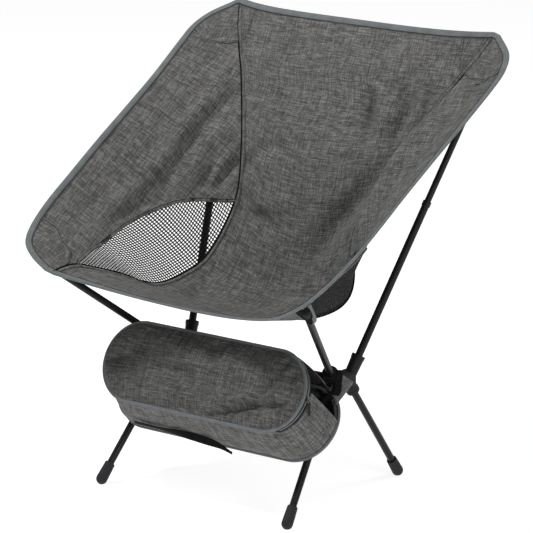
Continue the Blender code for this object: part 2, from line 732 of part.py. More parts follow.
anodised = make_material("anodised_black", (0.028, 0.028, 0.032), 0.38, 0.75)
moulded = make_material("moulded_plastic", (0.030, 0.031, 0.035), 0.55)
rubber = make_material("foot_rubber", (0.035, 0.036, 0.040), 0.70)
steel = make_material("dark_steel", (0.22, 0.22, 0.23), 0.35, 0.9)
elastic = make_material("shock_cord", (0.10, 0.10, 0.10), 0.80)
heather = make_material("heather_polyester", (0.105, 0.105, 0.102), 0.92)
netting = make_material("mesh_netting", (0.010, 0.010, 0.011), 0.80)
trim = make_material("binding_tape", (0.150, 0.160, 0.168), 0.85)
webbing = make_material("black_webbing", (0.012, 0.012, 0.014), 0.85)

make_cross_tube(anodised)
for side in (1, -1):
    make_hub(side, moulded)
    make_hub_screw(side, steel)
    make_leg("front", side, FRONT_JOINT, FRONT_FOOT, anodised, rubber, elastic)
    make_leg("rear", side, REAR_JOINT, REAR_FOOT, anodised, rubber, elastic)
    make_front_post(side, anodised, moulded, heather)
    make_back_post(side, anodised, steel, moulded, elastic, heather)
    make_side_panel(side, heather)
    make_mesh_panel(side, netting)
    make_hub_strap(side, webbing)
make_middle_panel(heather)
make_binding(trim)
make_pouch(heather, trim, webbing, webbing)
make_zip(moulded, steel)
make_tail(webbing)
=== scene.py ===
"""Looks for the ultralight backpacking chair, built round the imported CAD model.

Metres, +Z up. The chair faces -Y and is symmetric about X = 0, apart from the pouch's opening. Soft
pieces are built here and stand for their CAD solids; hard pieces keep their CAD shape where it is right.
"""
import json
import math

import bpy
import numpy as np
from mathutils import Matrix, Vector
from mathutils.bvhtree import BVHTree
from mathutils.geometry import delaunay_2d_cdt
from mathutils.kdtree import KDTree

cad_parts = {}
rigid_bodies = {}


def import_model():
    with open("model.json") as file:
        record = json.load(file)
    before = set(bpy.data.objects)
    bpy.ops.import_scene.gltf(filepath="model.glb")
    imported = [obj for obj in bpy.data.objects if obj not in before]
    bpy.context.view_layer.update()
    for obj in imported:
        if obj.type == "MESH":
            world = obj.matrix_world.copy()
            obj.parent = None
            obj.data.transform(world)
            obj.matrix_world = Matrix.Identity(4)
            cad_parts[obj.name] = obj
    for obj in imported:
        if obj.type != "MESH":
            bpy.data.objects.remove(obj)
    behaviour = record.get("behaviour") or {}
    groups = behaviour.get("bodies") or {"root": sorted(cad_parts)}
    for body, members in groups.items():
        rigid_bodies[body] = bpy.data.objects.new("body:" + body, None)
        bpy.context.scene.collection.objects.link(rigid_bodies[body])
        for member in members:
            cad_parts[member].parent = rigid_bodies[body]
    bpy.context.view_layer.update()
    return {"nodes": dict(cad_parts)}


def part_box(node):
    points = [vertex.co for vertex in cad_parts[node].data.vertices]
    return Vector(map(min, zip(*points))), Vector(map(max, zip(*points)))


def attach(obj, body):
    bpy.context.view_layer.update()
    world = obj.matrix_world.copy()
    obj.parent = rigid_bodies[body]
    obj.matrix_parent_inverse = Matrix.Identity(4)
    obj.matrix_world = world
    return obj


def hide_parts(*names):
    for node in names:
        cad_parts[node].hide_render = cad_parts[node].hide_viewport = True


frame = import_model()
NODES = frame["nodes"]
ROOT = "frame"
SIDES = ((1, "right"), (-1, "left"))

# ---- camera, light and floor ---------------------------------------------------------------------------
CAMERA_AZIMUTH, CAMERA_ELEVATION = math.radians(38.258), math.radians(14.202)
CAMERA_DISTANCE, CAMERA_LENS = 5.2527, 244.5
CAMERA_TARGET = Vector((0.0, 0.0, 0.2955))
CAMERA_SHIFT = (-0.0012, 0.0308)
LIGHTS = [("key", (-1.1, -1.0, 2.9), 0.5, 70.0), ("fill", (2.9, -1.1, 1.3), 1.4, 33.0),
          ("rim", (1.2, 1.9, 2.2), 1.2, 14.0)]           # name, place, size across, watts
LIGHT_TARGET, WORLD_STRENGTH = (0.0, 0.0, 0.35), 0.24
FLOOR_REACH, FLOOR_GREY, FLOOR_GLOW = 12.0, 0.45, 0.82
WHITE = (1.0, 1.0, 1.0, 1.0)


def add_object(name, data):
    obj = bpy.data.objects.new(name, data)
    bpy.context.scene.collection.objects.link(obj)
    return obj


def look_from(obj, place, target):
    obj.location = place
    obj.rotation_mode = "QUATERNION"
    obj.rotation_quaternion = (Vector(target) - Vector(place)).to_track_quat("-Z", "Y")


def add_camera():
    data = bpy.data.cameras.new("camera")
    data.lens = CAMERA_LENS
    data.sensor_width = 36.0
    data.shift_x, data.shift_y = CAMERA_SHIFT
    data.clip_start, data.clip_end = 0.1, 100.0
    camera = add_object("camera", data)
    flat = math.cos(CAMERA_ELEVATION)
    back = Vector((math.sin(CAMERA_AZIMUTH) * flat, -math.cos(CAMERA_AZIMUTH) * flat,
                   math.sin(CAMERA_ELEVATION)))
    look_from(camera, CAMERA_TARGET + back * CAMERA_DISTANCE, CAMERA_TARGET)
    bpy.context.scene.camera = camera


def add_studio():
    scene = bpy.context.scene
    scene.view_settings.view_transform = "Standard"
    world = bpy.data.worlds.new("studio")
    world.use_nodes = True
    set_sockets(world.node_tree.nodes["Background"], {"Color": WHITE, "Strength": WORLD_STRENGTH})
    scene.world = world
    for name, place, size, power in LIGHTS:
        data = bpy.data.lights.new(name, "AREA")
        data.shape, data.size, data.energy = "DISK", size, power
        look_from(add_object(name, data), Vector(place), LIGHT_TARGET)
    mesh = bpy.data.meshes.new("floor")
    corners = ((-1, -1), (1, -1), (1, 1), (-1, 1))
    mesh.from_pydata([(x * FLOOR_REACH, y * FLOOR_REACH, 0.0) for x, y in corners], [], [(0, 1, 2, 3)])
    paint, _, shader = new_material("floor_paint")
    set_sockets(shader, {"Base Color": (FLOOR_GREY, FLOOR_GREY, FLOOR_GREY, 1.0), "Roughness": 0.95,
                         "Emission Color": WHITE, "Emission Strength": FLOOR_GLOW, "Specular IOR Level": 0.0})
    mesh.materials.append(paint)
    add_object("floor", mesh)


# ---- materials -----------------------------------------------------------------------------------------
def new_material(name):
    material = bpy.data.materials.new(name)
    material.use_nodes = True
    return material, material.node_tree, material.node_tree.nodes["Principled BSDF"]


def set_sockets(node, values):
    for socket, value in values.items():
        node.inputs[socket].default_value = value


WAVE_RATE = 0.159                 # a wave texture's crests for each unit of its scale
YARN, SLUB = 0.0008, 0.0014       # yarn widths of the melange cloth


class Nodes:
    """Short calls that add and join shader nodes."""

    def __init__(self, tree):
        self.tree = tree

    def add(self, kind, **settings):
        node = self.tree.nodes.new(kind)
        for key, value in settings.items():
            setattr(node, key, value)
        return node

    def join(self, source, target):
        self.tree.links.new(source, target)

    def uv(self):
        return self.add("ShaderNodeUVMap", uv_map="cloth").outputs["UV"]

    def place(self):
        return self.add("ShaderNodeTexCoord").outputs["Object"]

    def stretched(self, vector, scale):
        mapping = self.add("ShaderNodeMapping")
        mapping.inputs["Scale"].default_value = scale
        self.join(vector, mapping.inputs["Vector"])
        return mapping.outputs["Vector"]

    def noise(self, vector, scale, detail=2.0):
        node = self.add("ShaderNodeTexNoise")
        set_sockets(node, {"Scale": 1.0, "Detail": detail, "Roughness": 0.5})
        self.join(self.stretched(vector, scale), node.inputs["Vector"])
        return node.outputs["Fac"]

    def ribs(self, vector, pitch, direction):
        """Waves half a pitch apart across one direction."""
        rate = WAVE_RATE / pitch * 2
        node = self.add("ShaderNodeTexWave", bands_direction=direction)
        node.inputs["Scale"].default_value = 1.0
        scale = (rate, 0.0, 0.0) if direction == "X" else (0.0, rate, 0.0)
        self.join(self.stretched(vector, scale), node.inputs["Vector"])
        return node.outputs["Fac"]

    def maths(self, operation, a, b, clamp=False):
        node = self.add("ShaderNodeMath", operation=operation, use_clamp=clamp)
        for socket, value in zip(node.inputs, (a, b)):
            if isinstance(value, (int, float)):
                socket.default_value = value
            else:
                self.join(value, socket)
        return node.outputs["Value"]

    def yarns(self, uv, width, run, along, seed):
        """One random shade for each length of yarn: width apart, run long, the ends staggered."""
        scale = (1.0 / width, 1.0 / run, 1.0) if along == "Y" else (1.0 / run, 1.0 / width, 1.0)
        split = self.add("ShaderNodeSeparateXYZ")
        self.join(self.stretched(uv, scale), split.inputs[0])
        across, length = ("X", "Y") if along == "Y" else ("Y", "X")
        lane = self.maths("FLOOR", split.outputs[across], 0.0)
        start = self.add("ShaderNodeTexWhiteNoise", noise_dimensions="1D")
        self.join(self.maths("ADD", lane, seed + 0.5), start.inputs["W"])
        slot = self.maths("FLOOR", self.maths("ADD", split.outputs[length],
                                              self.maths("MULTIPLY", start.outputs["Value"], 19.0)), 0.0)
        pair = self.add("ShaderNodeCombineXYZ")
        self.join(lane, pair.inputs["X"])
        self.join(slot, pair.inputs["Y"])
        pair.inputs["Z"].default_value = seed
        shade = self.add("ShaderNodeTexWhiteNoise", noise_dimensions="3D")
        self.join(pair.outputs["Vector"], shade.inputs["Vector"])
        return shade.outputs["Value"]

    def total(self, parts):
        """A weighted sum of values: pairs of (value, weight)."""
        made = None
        for value, weight in parts:
            term = self.maths("MULTIPLY", value, weight)
            made = term if made is None else self.maths("ADD", made, term)
        return made

    def ramp(self, value, stops):
        node = self.add("ShaderNodeValToRGB")
        points = node.color_ramp.elements
        while len(points) < len(stops):
            points.new(0.5)
        for point, (position, colour) in zip(points, stops):
            point.position = position
            point.color = (*colour, 1.0)
        self.join(value, node.inputs["Fac"])
        return node.outputs["Color"]

    def bump(self, shader, height, strength, distance):
        node = self.add("ShaderNodeBump")
        set_sockets(node, {"Strength": strength, "Distance": distance})
        self.join(height, node.inputs["Height"])
        self.join(node.outputs["Normal"], shader.inputs["Normal"])


def grey(level, tint):
    return tuple(level * part for part in tint)


def heather_cloth(name, level):
    """Melange polyester: dark and pale yarns crossing in a plain weave."""
    material, tree, shader = new_material(name)
    nodes = Nodes(tree)
    uv = nodes.uv()
    mixed = nodes.total([
        (nodes.yarns(uv, YARN, 0.009, "Y", 3.0), 0.28), (nodes.yarns(uv, YARN, 0.009, "X", 11.0), 0.30),
        (nodes.yarns(uv, SLUB, 0.030, "Y", 23.0), 0.15), (nodes.yarns(uv, SLUB, 0.024, "X", 37.0), 0.19),
        (nodes.noise(uv, (45.0, 45.0, 1.0), 3.0), 0.08)])
    stops = ((0.26, 0.42), (0.416, 0.86), (0.584, 1.14), (0.74, 2.0))
    nodes.join(nodes.ramp(mixed, [(at, grey(level * part, HEATHER_TINT)) for at, part in stops]),
               shader.inputs["Base Color"])
    set_sockets(shader, {"Roughness": 0.92, "Specular IOR Level": 0.20, "Sheen Weight": 0.06,
                         "Sheen Roughness": 0.5})
    weave = nodes.maths("MULTIPLY", nodes.ribs(uv, 0.0009, "X"), nodes.ribs(uv, 0.0009, "Y"))
    slubs = nodes.noise(uv, (900.0, 900.0, 1.0))
    nodes.bump(shader, nodes.total([(weave, 0.6), (slubs, 0.5)]), 0.45, 0.0004)
    return material


def tape_cloth(name, level, tint, rib=0.0009, gloss=0.25):
    """Grosgrain tape: fine ribs across it, along UV x."""
    material, tree, shader = new_material(name)
    nodes = Nodes(tree)
    uv = nodes.uv()
    ribs, fuzz = nodes.ribs(uv, rib, "X"), nodes.noise(uv, (900.0, 900.0, 1.0))
    value = nodes.total([(fuzz, 0.35), (nodes.noise(uv, (60.0, 60.0, 1.0)), 0.25), (ribs, 0.12)])
    stops = ((0.0, 0.25), (0.24, 0.66), (0.36, 1.0), (0.52, 1.40))
    nodes.join(nodes.ramp(value, [(at, grey(level * part, tint)) for at, part in stops]),
               shader.inputs["Base Color"])
    set_sockets(shader, {"Roughness": 0.85, "Specular IOR Level": gloss, "Sheen Weight": 0.2 * gloss})
    nodes.bump(shader, nodes.total([(ribs, 0.7), (fuzz, 0.3)]), 0.6, 0.0003)
    return material


def surface(name, colour, roughness, metallic=0.0, grain=0.0, scale=900.0, gloss=0.28):
    """A hard finish whose colour and roughness vary a little, with a fine grain where it has one."""
    material, tree, shader = new_material(name)
    nodes = Nodes(tree)
    place = nodes.place()
    broad = nodes.noise(place, (45.0, 45.0, 45.0), 3.0)
    nodes.join(nodes.ramp(broad, [(0.30, grey(1.0 - WEAR, colour)), (0.70, grey(1.0 + WEAR, colour))]),
               shader.inputs["Base Color"])
    change = nodes.maths("MULTIPLY", nodes.maths("SUBTRACT", broad, 0.5), 0.18)
    nodes.join(nodes.maths("ADD", change, roughness, True), shader.inputs["Roughness"])
    set_sockets(shader, {"Metallic": metallic, "Specular IOR Level": gloss})
    if grain:
        nodes.bump(shader, nodes.noise(place, (scale, scale, scale)), grain, 0.0002)
    return material


HEATHER_TINT, WEAR = (1.0, 0.99, 0.955), 0.15
HEATHER = heather_cloth("heather_polyester", 0.100)
LID_HEATHER = heather_cloth("heather_polyester_pouch", 0.073)
PATCH_HEATHER = heather_cloth("heather_polyester_patch", 0.093)
TRIM = tape_cloth("binding_tape", 0.150, (0.91, 1.0, 1.03))
PLAIN_TRIM = tape_cloth("binding_tape_flat", 0.140, (0.94, 1.0, 1.01))
WEBBING = tape_cloth("black_webbing", 0.0065, (1.0, 1.0, 1.05), 0.0012, 0.08)
NETTING = surface("mesh_netting", (0.007, 0.007, 0.008), 0.75, 0.0, 0.3, 2500.0, gloss=0.15)
# Near-black thread for the stitches; the same colour also paints shade lines, as dark tubes laid along the
# sling's seams and under the binding tapes' stitch rows.
THREAD = surface("sewing_thread", (0.006, 0.006, 0.0065), 0.8, gloss=0.10)
PATCH_THREAD = surface("sewing_thread_grey", (0.035, 0.035, 0.035), 0.8, gloss=0.15)
PALE_THREAD = surface("pale_thread", (0.22, 0.225, 0.225), 0.8, gloss=0.15)
ANODISED = surface("anodised_black", (0.0075, 0.0075, 0.0085), 0.42, 0.30, 0.08, 1400.0, gloss=0.27)
MOULDED = surface("moulded_plastic", (0.008, 0.0082, 0.0095), 0.55, 0.0, 0.25, gloss=0.20)
RUBBER = surface("foot_rubber", (0.0147, 0.0150, 0.0171), 0.66, 0.0, 0.30, 700.0, gloss=0.25)
STEEL = surface("dark_steel", (0.16, 0.16, 0.17), 0.38, 0.9, 0.05)
ELASTIC = surface("shock_cord", (0.05, 0.05, 0.05), 0.8)

# The library's slots: a material whose name begins with one belongs to it.
SLOTS = ("heather_polyester", "binding_tape", "black_webbing", "mesh_netting", "dark_steel",
         "moulded_plastic")


# ---- mesh helpers --------------------------------------------------------------------------------------
def unit(vectors):
    vectors = np.asarray(vectors, float)
    return vectors / np.maximum(np.linalg.norm(vectors, axis=-1, keepdims=True), 1e-12)


def flipped(points, side):
    """Points or directions for the right side, or mirrored for the left, where side is -1."""
    points = np.array(points, float)
    points[..., 0] *= side
    return points


def square_to(along, lean):
    """Directions square to a path's own, leaning as given."""
    lean = np.broadcast_to(np.asarray(lean, float), along.shape)
    return unit(lean - along * (lean * along).sum(1, keepdims=True))


def lengths_along(path):
    """How far along a path each of its points is."""
    return np.concatenate([[0.0], np.cumsum(np.linalg.norm(np.diff(path, axis=0), axis=1))])


def blurred(values, spread, reach):
    """Rows of a closed loop, each averaged with its neighbours."""
    steps = np.arange(-reach, reach + 1)
    kernel = np.exp(-0.5 * (steps / spread) ** 2)
    kernel /= kernel.sum()
    return sum(weight * np.roll(values, step, axis=0) for weight, step in zip(kernel, steps))


def mesh_points(mesh):
    points = np.empty(len(mesh.vertices) * 3)
    mesh.vertices.foreach_get("co", points)
    return points.reshape(-1, 3)


def slot_of(material):
    return next((slot for slot in SLOTS if material.name.startswith(slot)), None)


def new_piece(name, points, faces, material, uv=None, slot=None, body=ROOT, node=None):
    """A smooth-shaded mesh that rides on a body and may stand for a CAD node. uv gives one pair a point;
    slot is worked out, from the material's name where it is None, but is given to nothing."""
    mesh = bpy.data.meshes.new(name)
    mesh.from_pydata(np.asarray(points, float).tolist(), [], [tuple(int(i) for i in face) for face in faces])
    mesh.validate()
    mesh.shade_smooth()
    if uv is not None:
        layer = mesh.uv_layers.new(name="cloth")
        corners = np.zeros(len(mesh.loops), np.int32)
        mesh.loops.foreach_get("vertex_index", corners)
        layer.data.foreach_set("uv", np.asarray(uv, np.float32)[corners].ravel())
    obj = add_object(name, mesh)
    mesh.materials.append(material)
    slot = slot_of(material) if slot is None else slot
    if node:
        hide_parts(node)
    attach(obj, body)
    return obj


def grid_faces(rows, columns, wrap_rows=False, wrap_columns=False):
    def at(r, c):
        return r % rows * columns + c % columns

    return [(at(r, c), at(r + 1, c), at(r + 1, c + 1), at(r, c + 1))
            for r in range(rows if wrap_rows else rows - 1)
            for c in range(columns if wrap_columns else columns - 1)]


def cloth_uv(grid):
    """Lengths in metres along and across a grid of points, so that a weave keeps its scale."""
    along = np.linalg.norm(np.diff(grid, axis=0), axis=2).mean(axis=1)
    v = np.concatenate([[0.0], np.cumsum(along)])
    across = np.linalg.norm(np.diff(grid, axis=1), axis=2)
    u = np.concatenate([np.zeros((len(grid), 1)), np.cumsum(across, axis=1)], axis=1)
    u = u - u[:, -1:] / 2
    return np.stack([u, np.repeat(v[:, None], grid.shape[1], axis=1)], axis=2)


def thicken(piece, thickness, offset=0.0):
    skin = piece.modifiers.new("thickness", "SOLIDIFY")
    skin.thickness, skin.offset = thickness, offset


def declare(grid):
    """Works out a cloth piece's flat cut, its greatest width, greatest length and area, and does nothing with
    them.
    """
    width = np.linalg.norm(np.diff(grid, axis=1), axis=2).sum(axis=1).max()
    length = np.linalg.norm(np.diff(grid, axis=0), axis=2).sum(axis=0).max()
    first, second = grid[1:, 1:] - grid[:-1, :-1], grid[1:, :-1] - grid[:-1, 1:]
    area = np.linalg.norm(np.cross(first, second), axis=2).sum() / 2


def cloth_piece(name, grid, thickness, material, uv=None, node=None, side=1):
    """A sheet through a grid of points, with its thickness."""
    grid = flipped(grid, side)
    uv = cloth_uv(grid) if uv is None else uv
    obj = new_piece(name, grid.reshape(-1, 3), grid_faces(*grid.shape[:2]), material, uv.reshape(-1, 2),
                    node=node)
    thicken(obj, thickness)
    declare(grid)


def sweep(name, path, across, up, section, material, closed=False, scale=1.0, side=1, **rides):
    """A band or tube: a closed section of (across, up) offsets carried along a path."""
    path, across, up = (np.broadcast_to(flipped(part, side), path.shape) for part in (path, across, up))
    section = np.asarray(section, float)
    rows, columns = len(path), len(section)
    sized = section[None] * np.broadcast_to(scale, rows)[:, None, None]
    points = path[:, None] + across[:, None] * sized[..., :1] + up[:, None] * sized[..., 1:]
    lengths = lengths_along(np.vstack([path, path[:1]]) if closed else path)[:rows]
    uv = np.stack(np.broadcast_arrays(lengths[:, None], section[None, :, 0]), axis=2)
    faces = grid_faces(rows, columns, closed, True)
    if not closed:
        faces += [tuple(range(columns)), tuple(range((rows - 1) * columns, rows * columns))[::-1]]
    new_piece(name, points.reshape(-1, 3), faces, material, uv.reshape(-1, 2), **rides)


def tangents(path, closed=False):
    if closed:
        return unit(np.roll(path, -1, 0) - np.roll(path, 1, 0))
    return unit(np.gradient(path, axis=0))


def frames(path, hint, closed=False):
    """Two directions square to a path; the second leans as hint does."""
    along = tangents(path, closed)
    up = square_to(along, hint)
    return unit(np.cross(along, up)), up


def ring(radius, sides):
    angles = np.arange(sides) * 2 * math.pi / sides
    return radius * np.stack([np.cos(angles), np.sin(angles)], axis=1)


def resampled(path, spacing, closed=False):
    path = np.vstack([path, path[:1]]) if closed else path
    length = lengths_along(path)
    count = max(int(round(length[-1] / spacing)), 2)
    at = np.linspace(0.0, length[-1], count + 1)
    made = np.stack([np.interp(at, length, path[:, k]) for k in range(path.shape[1])], axis=1)
    return made[:-1] if closed else made


STITCH = ((-0.5, 0.25), (-0.38, 0.85), (0.0, 1.0), (0.38, 0.85), (0.5, 0.25))    # (along, radius) shares
# Rows of stitches: their pitch, each one's length and radius.
SEAM_ROW, HEM_ROW, PATCH_ROW = (0.0034, 0.0027, 0.00034), (0.0032, 0.0026, 0.00036), (0.0030, 0.0024, 0.00030)
EDGE_ROW, TAPE_ROW, BAND_ROW = (0.0034, 0.0029, 0.00042), (0.0030, 0.0025, 0.00042), (0.0032, 0.0025, 0.0004)
ZIP_TEETH = (0.0018, 0.0011, 0.00075)


def stitches(name, path, up, material, row, closed=False, body=ROOT, side=1):
    """A row of sewn stitches: short capsules laid end to end along a path."""
    path, up = flipped(path, side), flipped(up, side)
    pitch, length, radius = row
    both = resampled(np.hstack([path, np.broadcast_to(up, np.shape(path))]), pitch, closed)
    centres = both[:, :3]
    along = tangents(centres, closed)
    lift = square_to(along, unit(both[:, 3:]))
    side = np.cross(along, lift)
    arc = ring(1.0, 6)
    points, faces = [], []
    for k, centre in enumerate(centres):
        base = len(points)
        points += [centre + along[k] * reach * length + (side[k] * a + lift[k] * b) * radius * width
                   for reach, width in STITCH for a, b in arc]
        faces += [tuple(i + base for i in face) for face in grid_faces(5, 6, False, True)]
        faces += [tuple(range(base, base + 6)), tuple(range(base + 24, base + 30))[::-1]]
    new_piece(name, points, faces, material, slot="", body=body)


def share(value, low, high):
    """0 below low, 1 above high, and a smooth climb between."""
    t = np.clip((np.asarray(value, float) - low) / (high - low), 0.0, 1.0)
    return t * t * (3.0 - 2.0 * t)


# ---- sling surface -------------------------------------------------------------------------------------
# Stations from the front edge to the top edge, in tenths of a millimetre: middle of the sling, seam, rim,
# and how full the middle panel hangs between its seams.
STATIONS = [
    ((0, -1650, 2870), (2050, -2370, 3240), (2162, -2406, 3290), 2.1),
    ((0, -1400, 2780), (2060, -2120, 3270), (2426, -2378, 3442), 2.0),
    ((0, -1110, 2680), (2010, -1800, 3250), (2619, -2293, 3600), 1.8),
    ((0, -750, 2600), (1720, -1256, 3056), (2730, -2060, 3780), 2.0),
    ((0, -350, 2565), (1490, -784, 2853), (2800, -1640, 4050), 2.2),
    ((0, 30, 2600), (1455, -135, 2883), (2820, -1110, 4370), 2.2),
    ((0, 400, 2830), (1353, 361, 3132), (2830, -450, 4780), 2.0),
    ((0, 730, 3480), (1215, 807, 3861), (2840, 250, 5190), 2.0),
    ((0, 1030, 4350), (1347, 1125, 4604), (2860, 900, 5570), 2.0),
    ((0, 1520, 5450), (1777, 1667, 5502), (2890, 1550, 5985), 2.4),
    ((0, 1730, 5880), (1995, 1890, 5880), (2870, 1820, 6175), 2.8),
    ((0, 1910, 6220), (2190, 2110, 6220), (2740, 2080, 6345), 3.2),
    ((0, 2074, 6535), (2340, 2345, 6565), (2420, 2325, 6530), 4.0),
]
SPINE, SEAM, RIM = (np.array([station[k] for station in STATIONS]) / 10000 for k in range(3))
FULLNESS = np.array([station[3] for station in STATIONS])
MESH_START, MESH_END = 0.170, 0.582
SIDE_BOW = 0.012


def smooth_line(points, t):
    """Catmull-Rom through the rows of points, for any array of t from 0 to 1."""
    t = np.asarray(t, float)
    last = len(points) - 1
    k = np.clip((t * last).astype(int), 0, last - 1)
    f = (t * last - k)[..., None] if points.ndim > 1 else t * last - k
    padded = np.concatenate([[2 * points[0] - points[1]], points, [2 * points[-1] - points[-2]]])
    p0, p1, p2, p3 = padded[k], padded[k + 1], padded[k + 2], padded[k + 3]
    return 0.5 * (2 * p1 + (p2 - p0) * f + (2 * p0 - 5 * p1 + 4 * p2 - p3) * f * f
                  + (3 * p1 - p0 - 3 * p2 + p3) * f ** 3)


def middle_surface(u, v):
    """The middle panel without its folds: u from -1 to 1 across, v from 0 at the front edge to 1."""
    u, v = np.broadcast_arrays(np.asarray(u, float), np.asarray(v, float))
    spine, seam = smooth_line(SPINE, v), smooth_line(SEAM, v)
    point = spine + (seam - spine) * (np.abs(u) ** smooth_line(FULLNESS, v))[..., None]
    point[..., 0] = seam[..., 0] * u
    return point


def side_normal(v):
    """Square to a right-hand side panel, towards the sitter."""
    v = np.asarray(v, float)
    along = smooth_line(SEAM, np.minimum(v + 0.02, 1.0)) - smooth_line(SEAM, np.maximum(v - 0.02, 0.0))
    return unit(np.cross(smooth_line(RIM, v) - smooth_line(SEAM, v), along))


def side_surface(w, v):
    """A right-hand side panel without its folds: w from 0 at the seam to 1 at the rim."""
    w, v = np.broadcast_arrays(np.asarray(w, float), np.asarray(v, float))
    seam, rim = smooth_line(SEAM, v), smooth_line(RIM, v)
    bow = SIDE_BOW * 4.0 * w * (1.0 - w) * np.sin(math.pi * np.clip((v - 0.12) / 0.66, 0.0, 1.0))
    return seam + (rim - seam) * w[..., None] + side_normal(v) * bow[..., None]


# The mesh leaf's outline: (share along the seam, share from the seam to the rim).
LEAF_KNOTS = [(MESH_START, 0.0), (0.174, 0.075), (0.190, 0.175), (0.232, 0.330), (0.288, 0.435),
              (0.382, 0.495), (0.454, 0.465), (0.510, 0.380), (0.540, 0.265), (0.560, 0.140),
              (0.574, 0.045), (MESH_END, 0.0)]
RIGHT_LEAF_END = 0.528            # the right panel slumps over its leaf's upper end


def leaf_edge(v, side=1):
    """How far the mesh leaf reaches from the seam, as a share of the side panel."""
    outline_of = smooth_line(np.array(LEAF_KNOTS), np.linspace(0.0, 1.0, 400))
    v = np.asarray(v, float)
    widest = 0.454
    if side > 0:
        v = np.where(v > widest, widest + (v - widest) * (MESH_END - widest) / (RIGHT_LEAF_END - widest), v)
    return np.maximum(np.interp(v, outline_of[:, 0], outline_of[:, 1], 0.0, 0.0), 0.0)


# ---- folds ---------------------------------------------------------------------------------------------
def crease_lines(creases, place, samples=50):
    """Each crease of a table as its line in space, depth and width."""
    share_along = np.linspace(0.0, 1.0, samples)
    return [(place(*smooth_line(np.array(knots) / 1000, share_along).T), depth / 10000, width / 10000)
            for depth, width, *knots in creases]


def fold_heights(grid, folds):
    """How far the folds lift each point: depth below 0 is a hollow seen from the seat."""
    flat = np.asarray(grid, float).reshape(-1, 3)
    total = np.zeros(len(flat))
    for line, depth, width in folds:
        gap = np.full(len(flat), 9.0)
        nearest = np.zeros(len(flat))
        for k, point in enumerate(line):
            distance = np.linalg.norm(flat - point, axis=1)
            closer = distance < gap
            gap[closer] = distance[closer]
            nearest[closer] = k / (len(line) - 1)
        taper = np.sqrt(np.sin(math.pi * np.clip(nearest, 0.012, 0.988)))
        total += depth * taper * np.exp(-(gap / width) ** 2)
    return total.reshape(np.shape(grid)[:-1])


# A crease is its depth and width in tenths of a millimetre, then its knots in thousandths. In the side
# panels a knot is (share from seam to rim, share along the seam).
LEFT_FOLDS = [
    (-95, 105, (60, 735), (160, 714), (325, 680), (420, 642), (470, 580), (465, 504), (440, 480)),
    (45, 120, (200, 765), (420, 700), (535, 640), (575, 570), (545, 500)),
    (40, 100, (220, 665), (330, 630), (375, 585), (360, 540)),
    (-80, 68, (10, 650), (40, 640), (110, 618), (150, 598), (190, 568)),
    (-66, 72, (230, 608), (245, 596), (260, 574), (270, 552)),
    (40, 55, (130, 640), (185, 610), (225, 572)),
    (-60, 100, (420, 700), (535, 562), (535, 530), (550, 498), (530, 466), (545, 426), (560, 380)),
    (36, 140, (660, 560), (655, 490), (650, 420), (640, 360)),
    (-36, 140, (270, 790), (540, 692), (670, 616), (695, 550), (685, 440)),
    (-30, 120, (750, 460), (760, 380), (700, 270)),
]
RIGHT_FOLDS = [
    (180, 280, (160, 740), (220, 680), (250, 620), (210, 565), (150, 515)),
    (-50, 160, (520, 770), (600, 700), (620, 600), (580, 500)),
    (30, 140, (720, 620), (740, 500), (680, 400)),
]
# In the middle panel a knot is (share from the middle to the seam, share along it).
MIDDLE_FOLDS = [
    (-125, 90, (285, 785), (385, 758), (420, 738), (465, 722), (565, 706)),
    (75, 105, (360, 800), (480, 765), (540, 740), (620, 716)),
    (-135, 115, (605, 800), (700, 764), (745, 740), (770, 722), (840, 706)),
    (65, 90, (780, 800), (840, 765), (890, 730)),
    (-150, 220, (900, 690), (820, 655), (680, 624), (495, 600), (370, 576), (310, 550)),
    (-76, 110, (-930, 660), (-775, 668), (-695, 680), (-475, 686), (-300, 675)),
    (-70, 90, (-930, 655), (-800, 640), (-680, 620)),
    (-80, 120, (-920, 600), (-750, 585), (-580, 590), (-400, 575)),
    (50, 130, (-920, 630), (-600, 610), (-200, 630)),
    (-40, 160, (-550, 900), (-500, 800), (-420, 700)),
    (34, 200, (100, 900), (60, 800), (0, 700)),
    (-60, 140, (860, 500), (780, 420), (600, 340)),
    (-50, 140, (-860, 470), (-740, 390), (-580, 300)),
]
SLING_CLOTH, PATCH_CLOTH, POUCH_CLOTH = 0.0009, 0.0007, 0.0010    # thicknesses
SIDE_CREASES = {1: crease_lines(RIGHT_FOLDS, side_surface), -1: crease_lines(LEFT_FOLDS, side_surface)}
MIDDLE_CREASES = crease_lines(MIDDLE_FOLDS, middle_surface)


def rim_frames():
    """Right round the sling's edge: the points, and the directions inwards and out of the cloth."""
    v = np.linspace(0.0, 1.0, 300)
    right = side_surface(1.0, v)
    lean = smooth_line(SEAM, np.clip(v, 0.10, 0.90)) - right
    u = np.linspace(1.0, 0.0, 90)[1:]
    top = middle_surface(u, 1.0)
    front = middle_surface(u[::-1], 0.0)
    half = np.vstack([front, right, top])
    half_lean = np.vstack([middle_surface(u[::-1], 0.10) - front, lean, middle_surface(u, 0.90) - top])
    mirror = np.array([-1.0, 1.0, 1.0])
    path = np.vstack([half, (half * mirror)[::-1][1:-1]])
    leans = np.vstack([unit(half_lean), (unit(half_lean) * mirror)[::-1][1:-1]])
    both = blurred(resampled(np.hstack([path, leans]), 0.004, closed=True), 3.5, 10)
    path = both[:, :3]
    along = tangents(path, closed=True)
    inward = square_to(along, both[:, 3:])
    return path, inward, np.cross(along, inward)


RIM_PATH, RIM_INWARD, RIM_NORMAL = rim_frames()


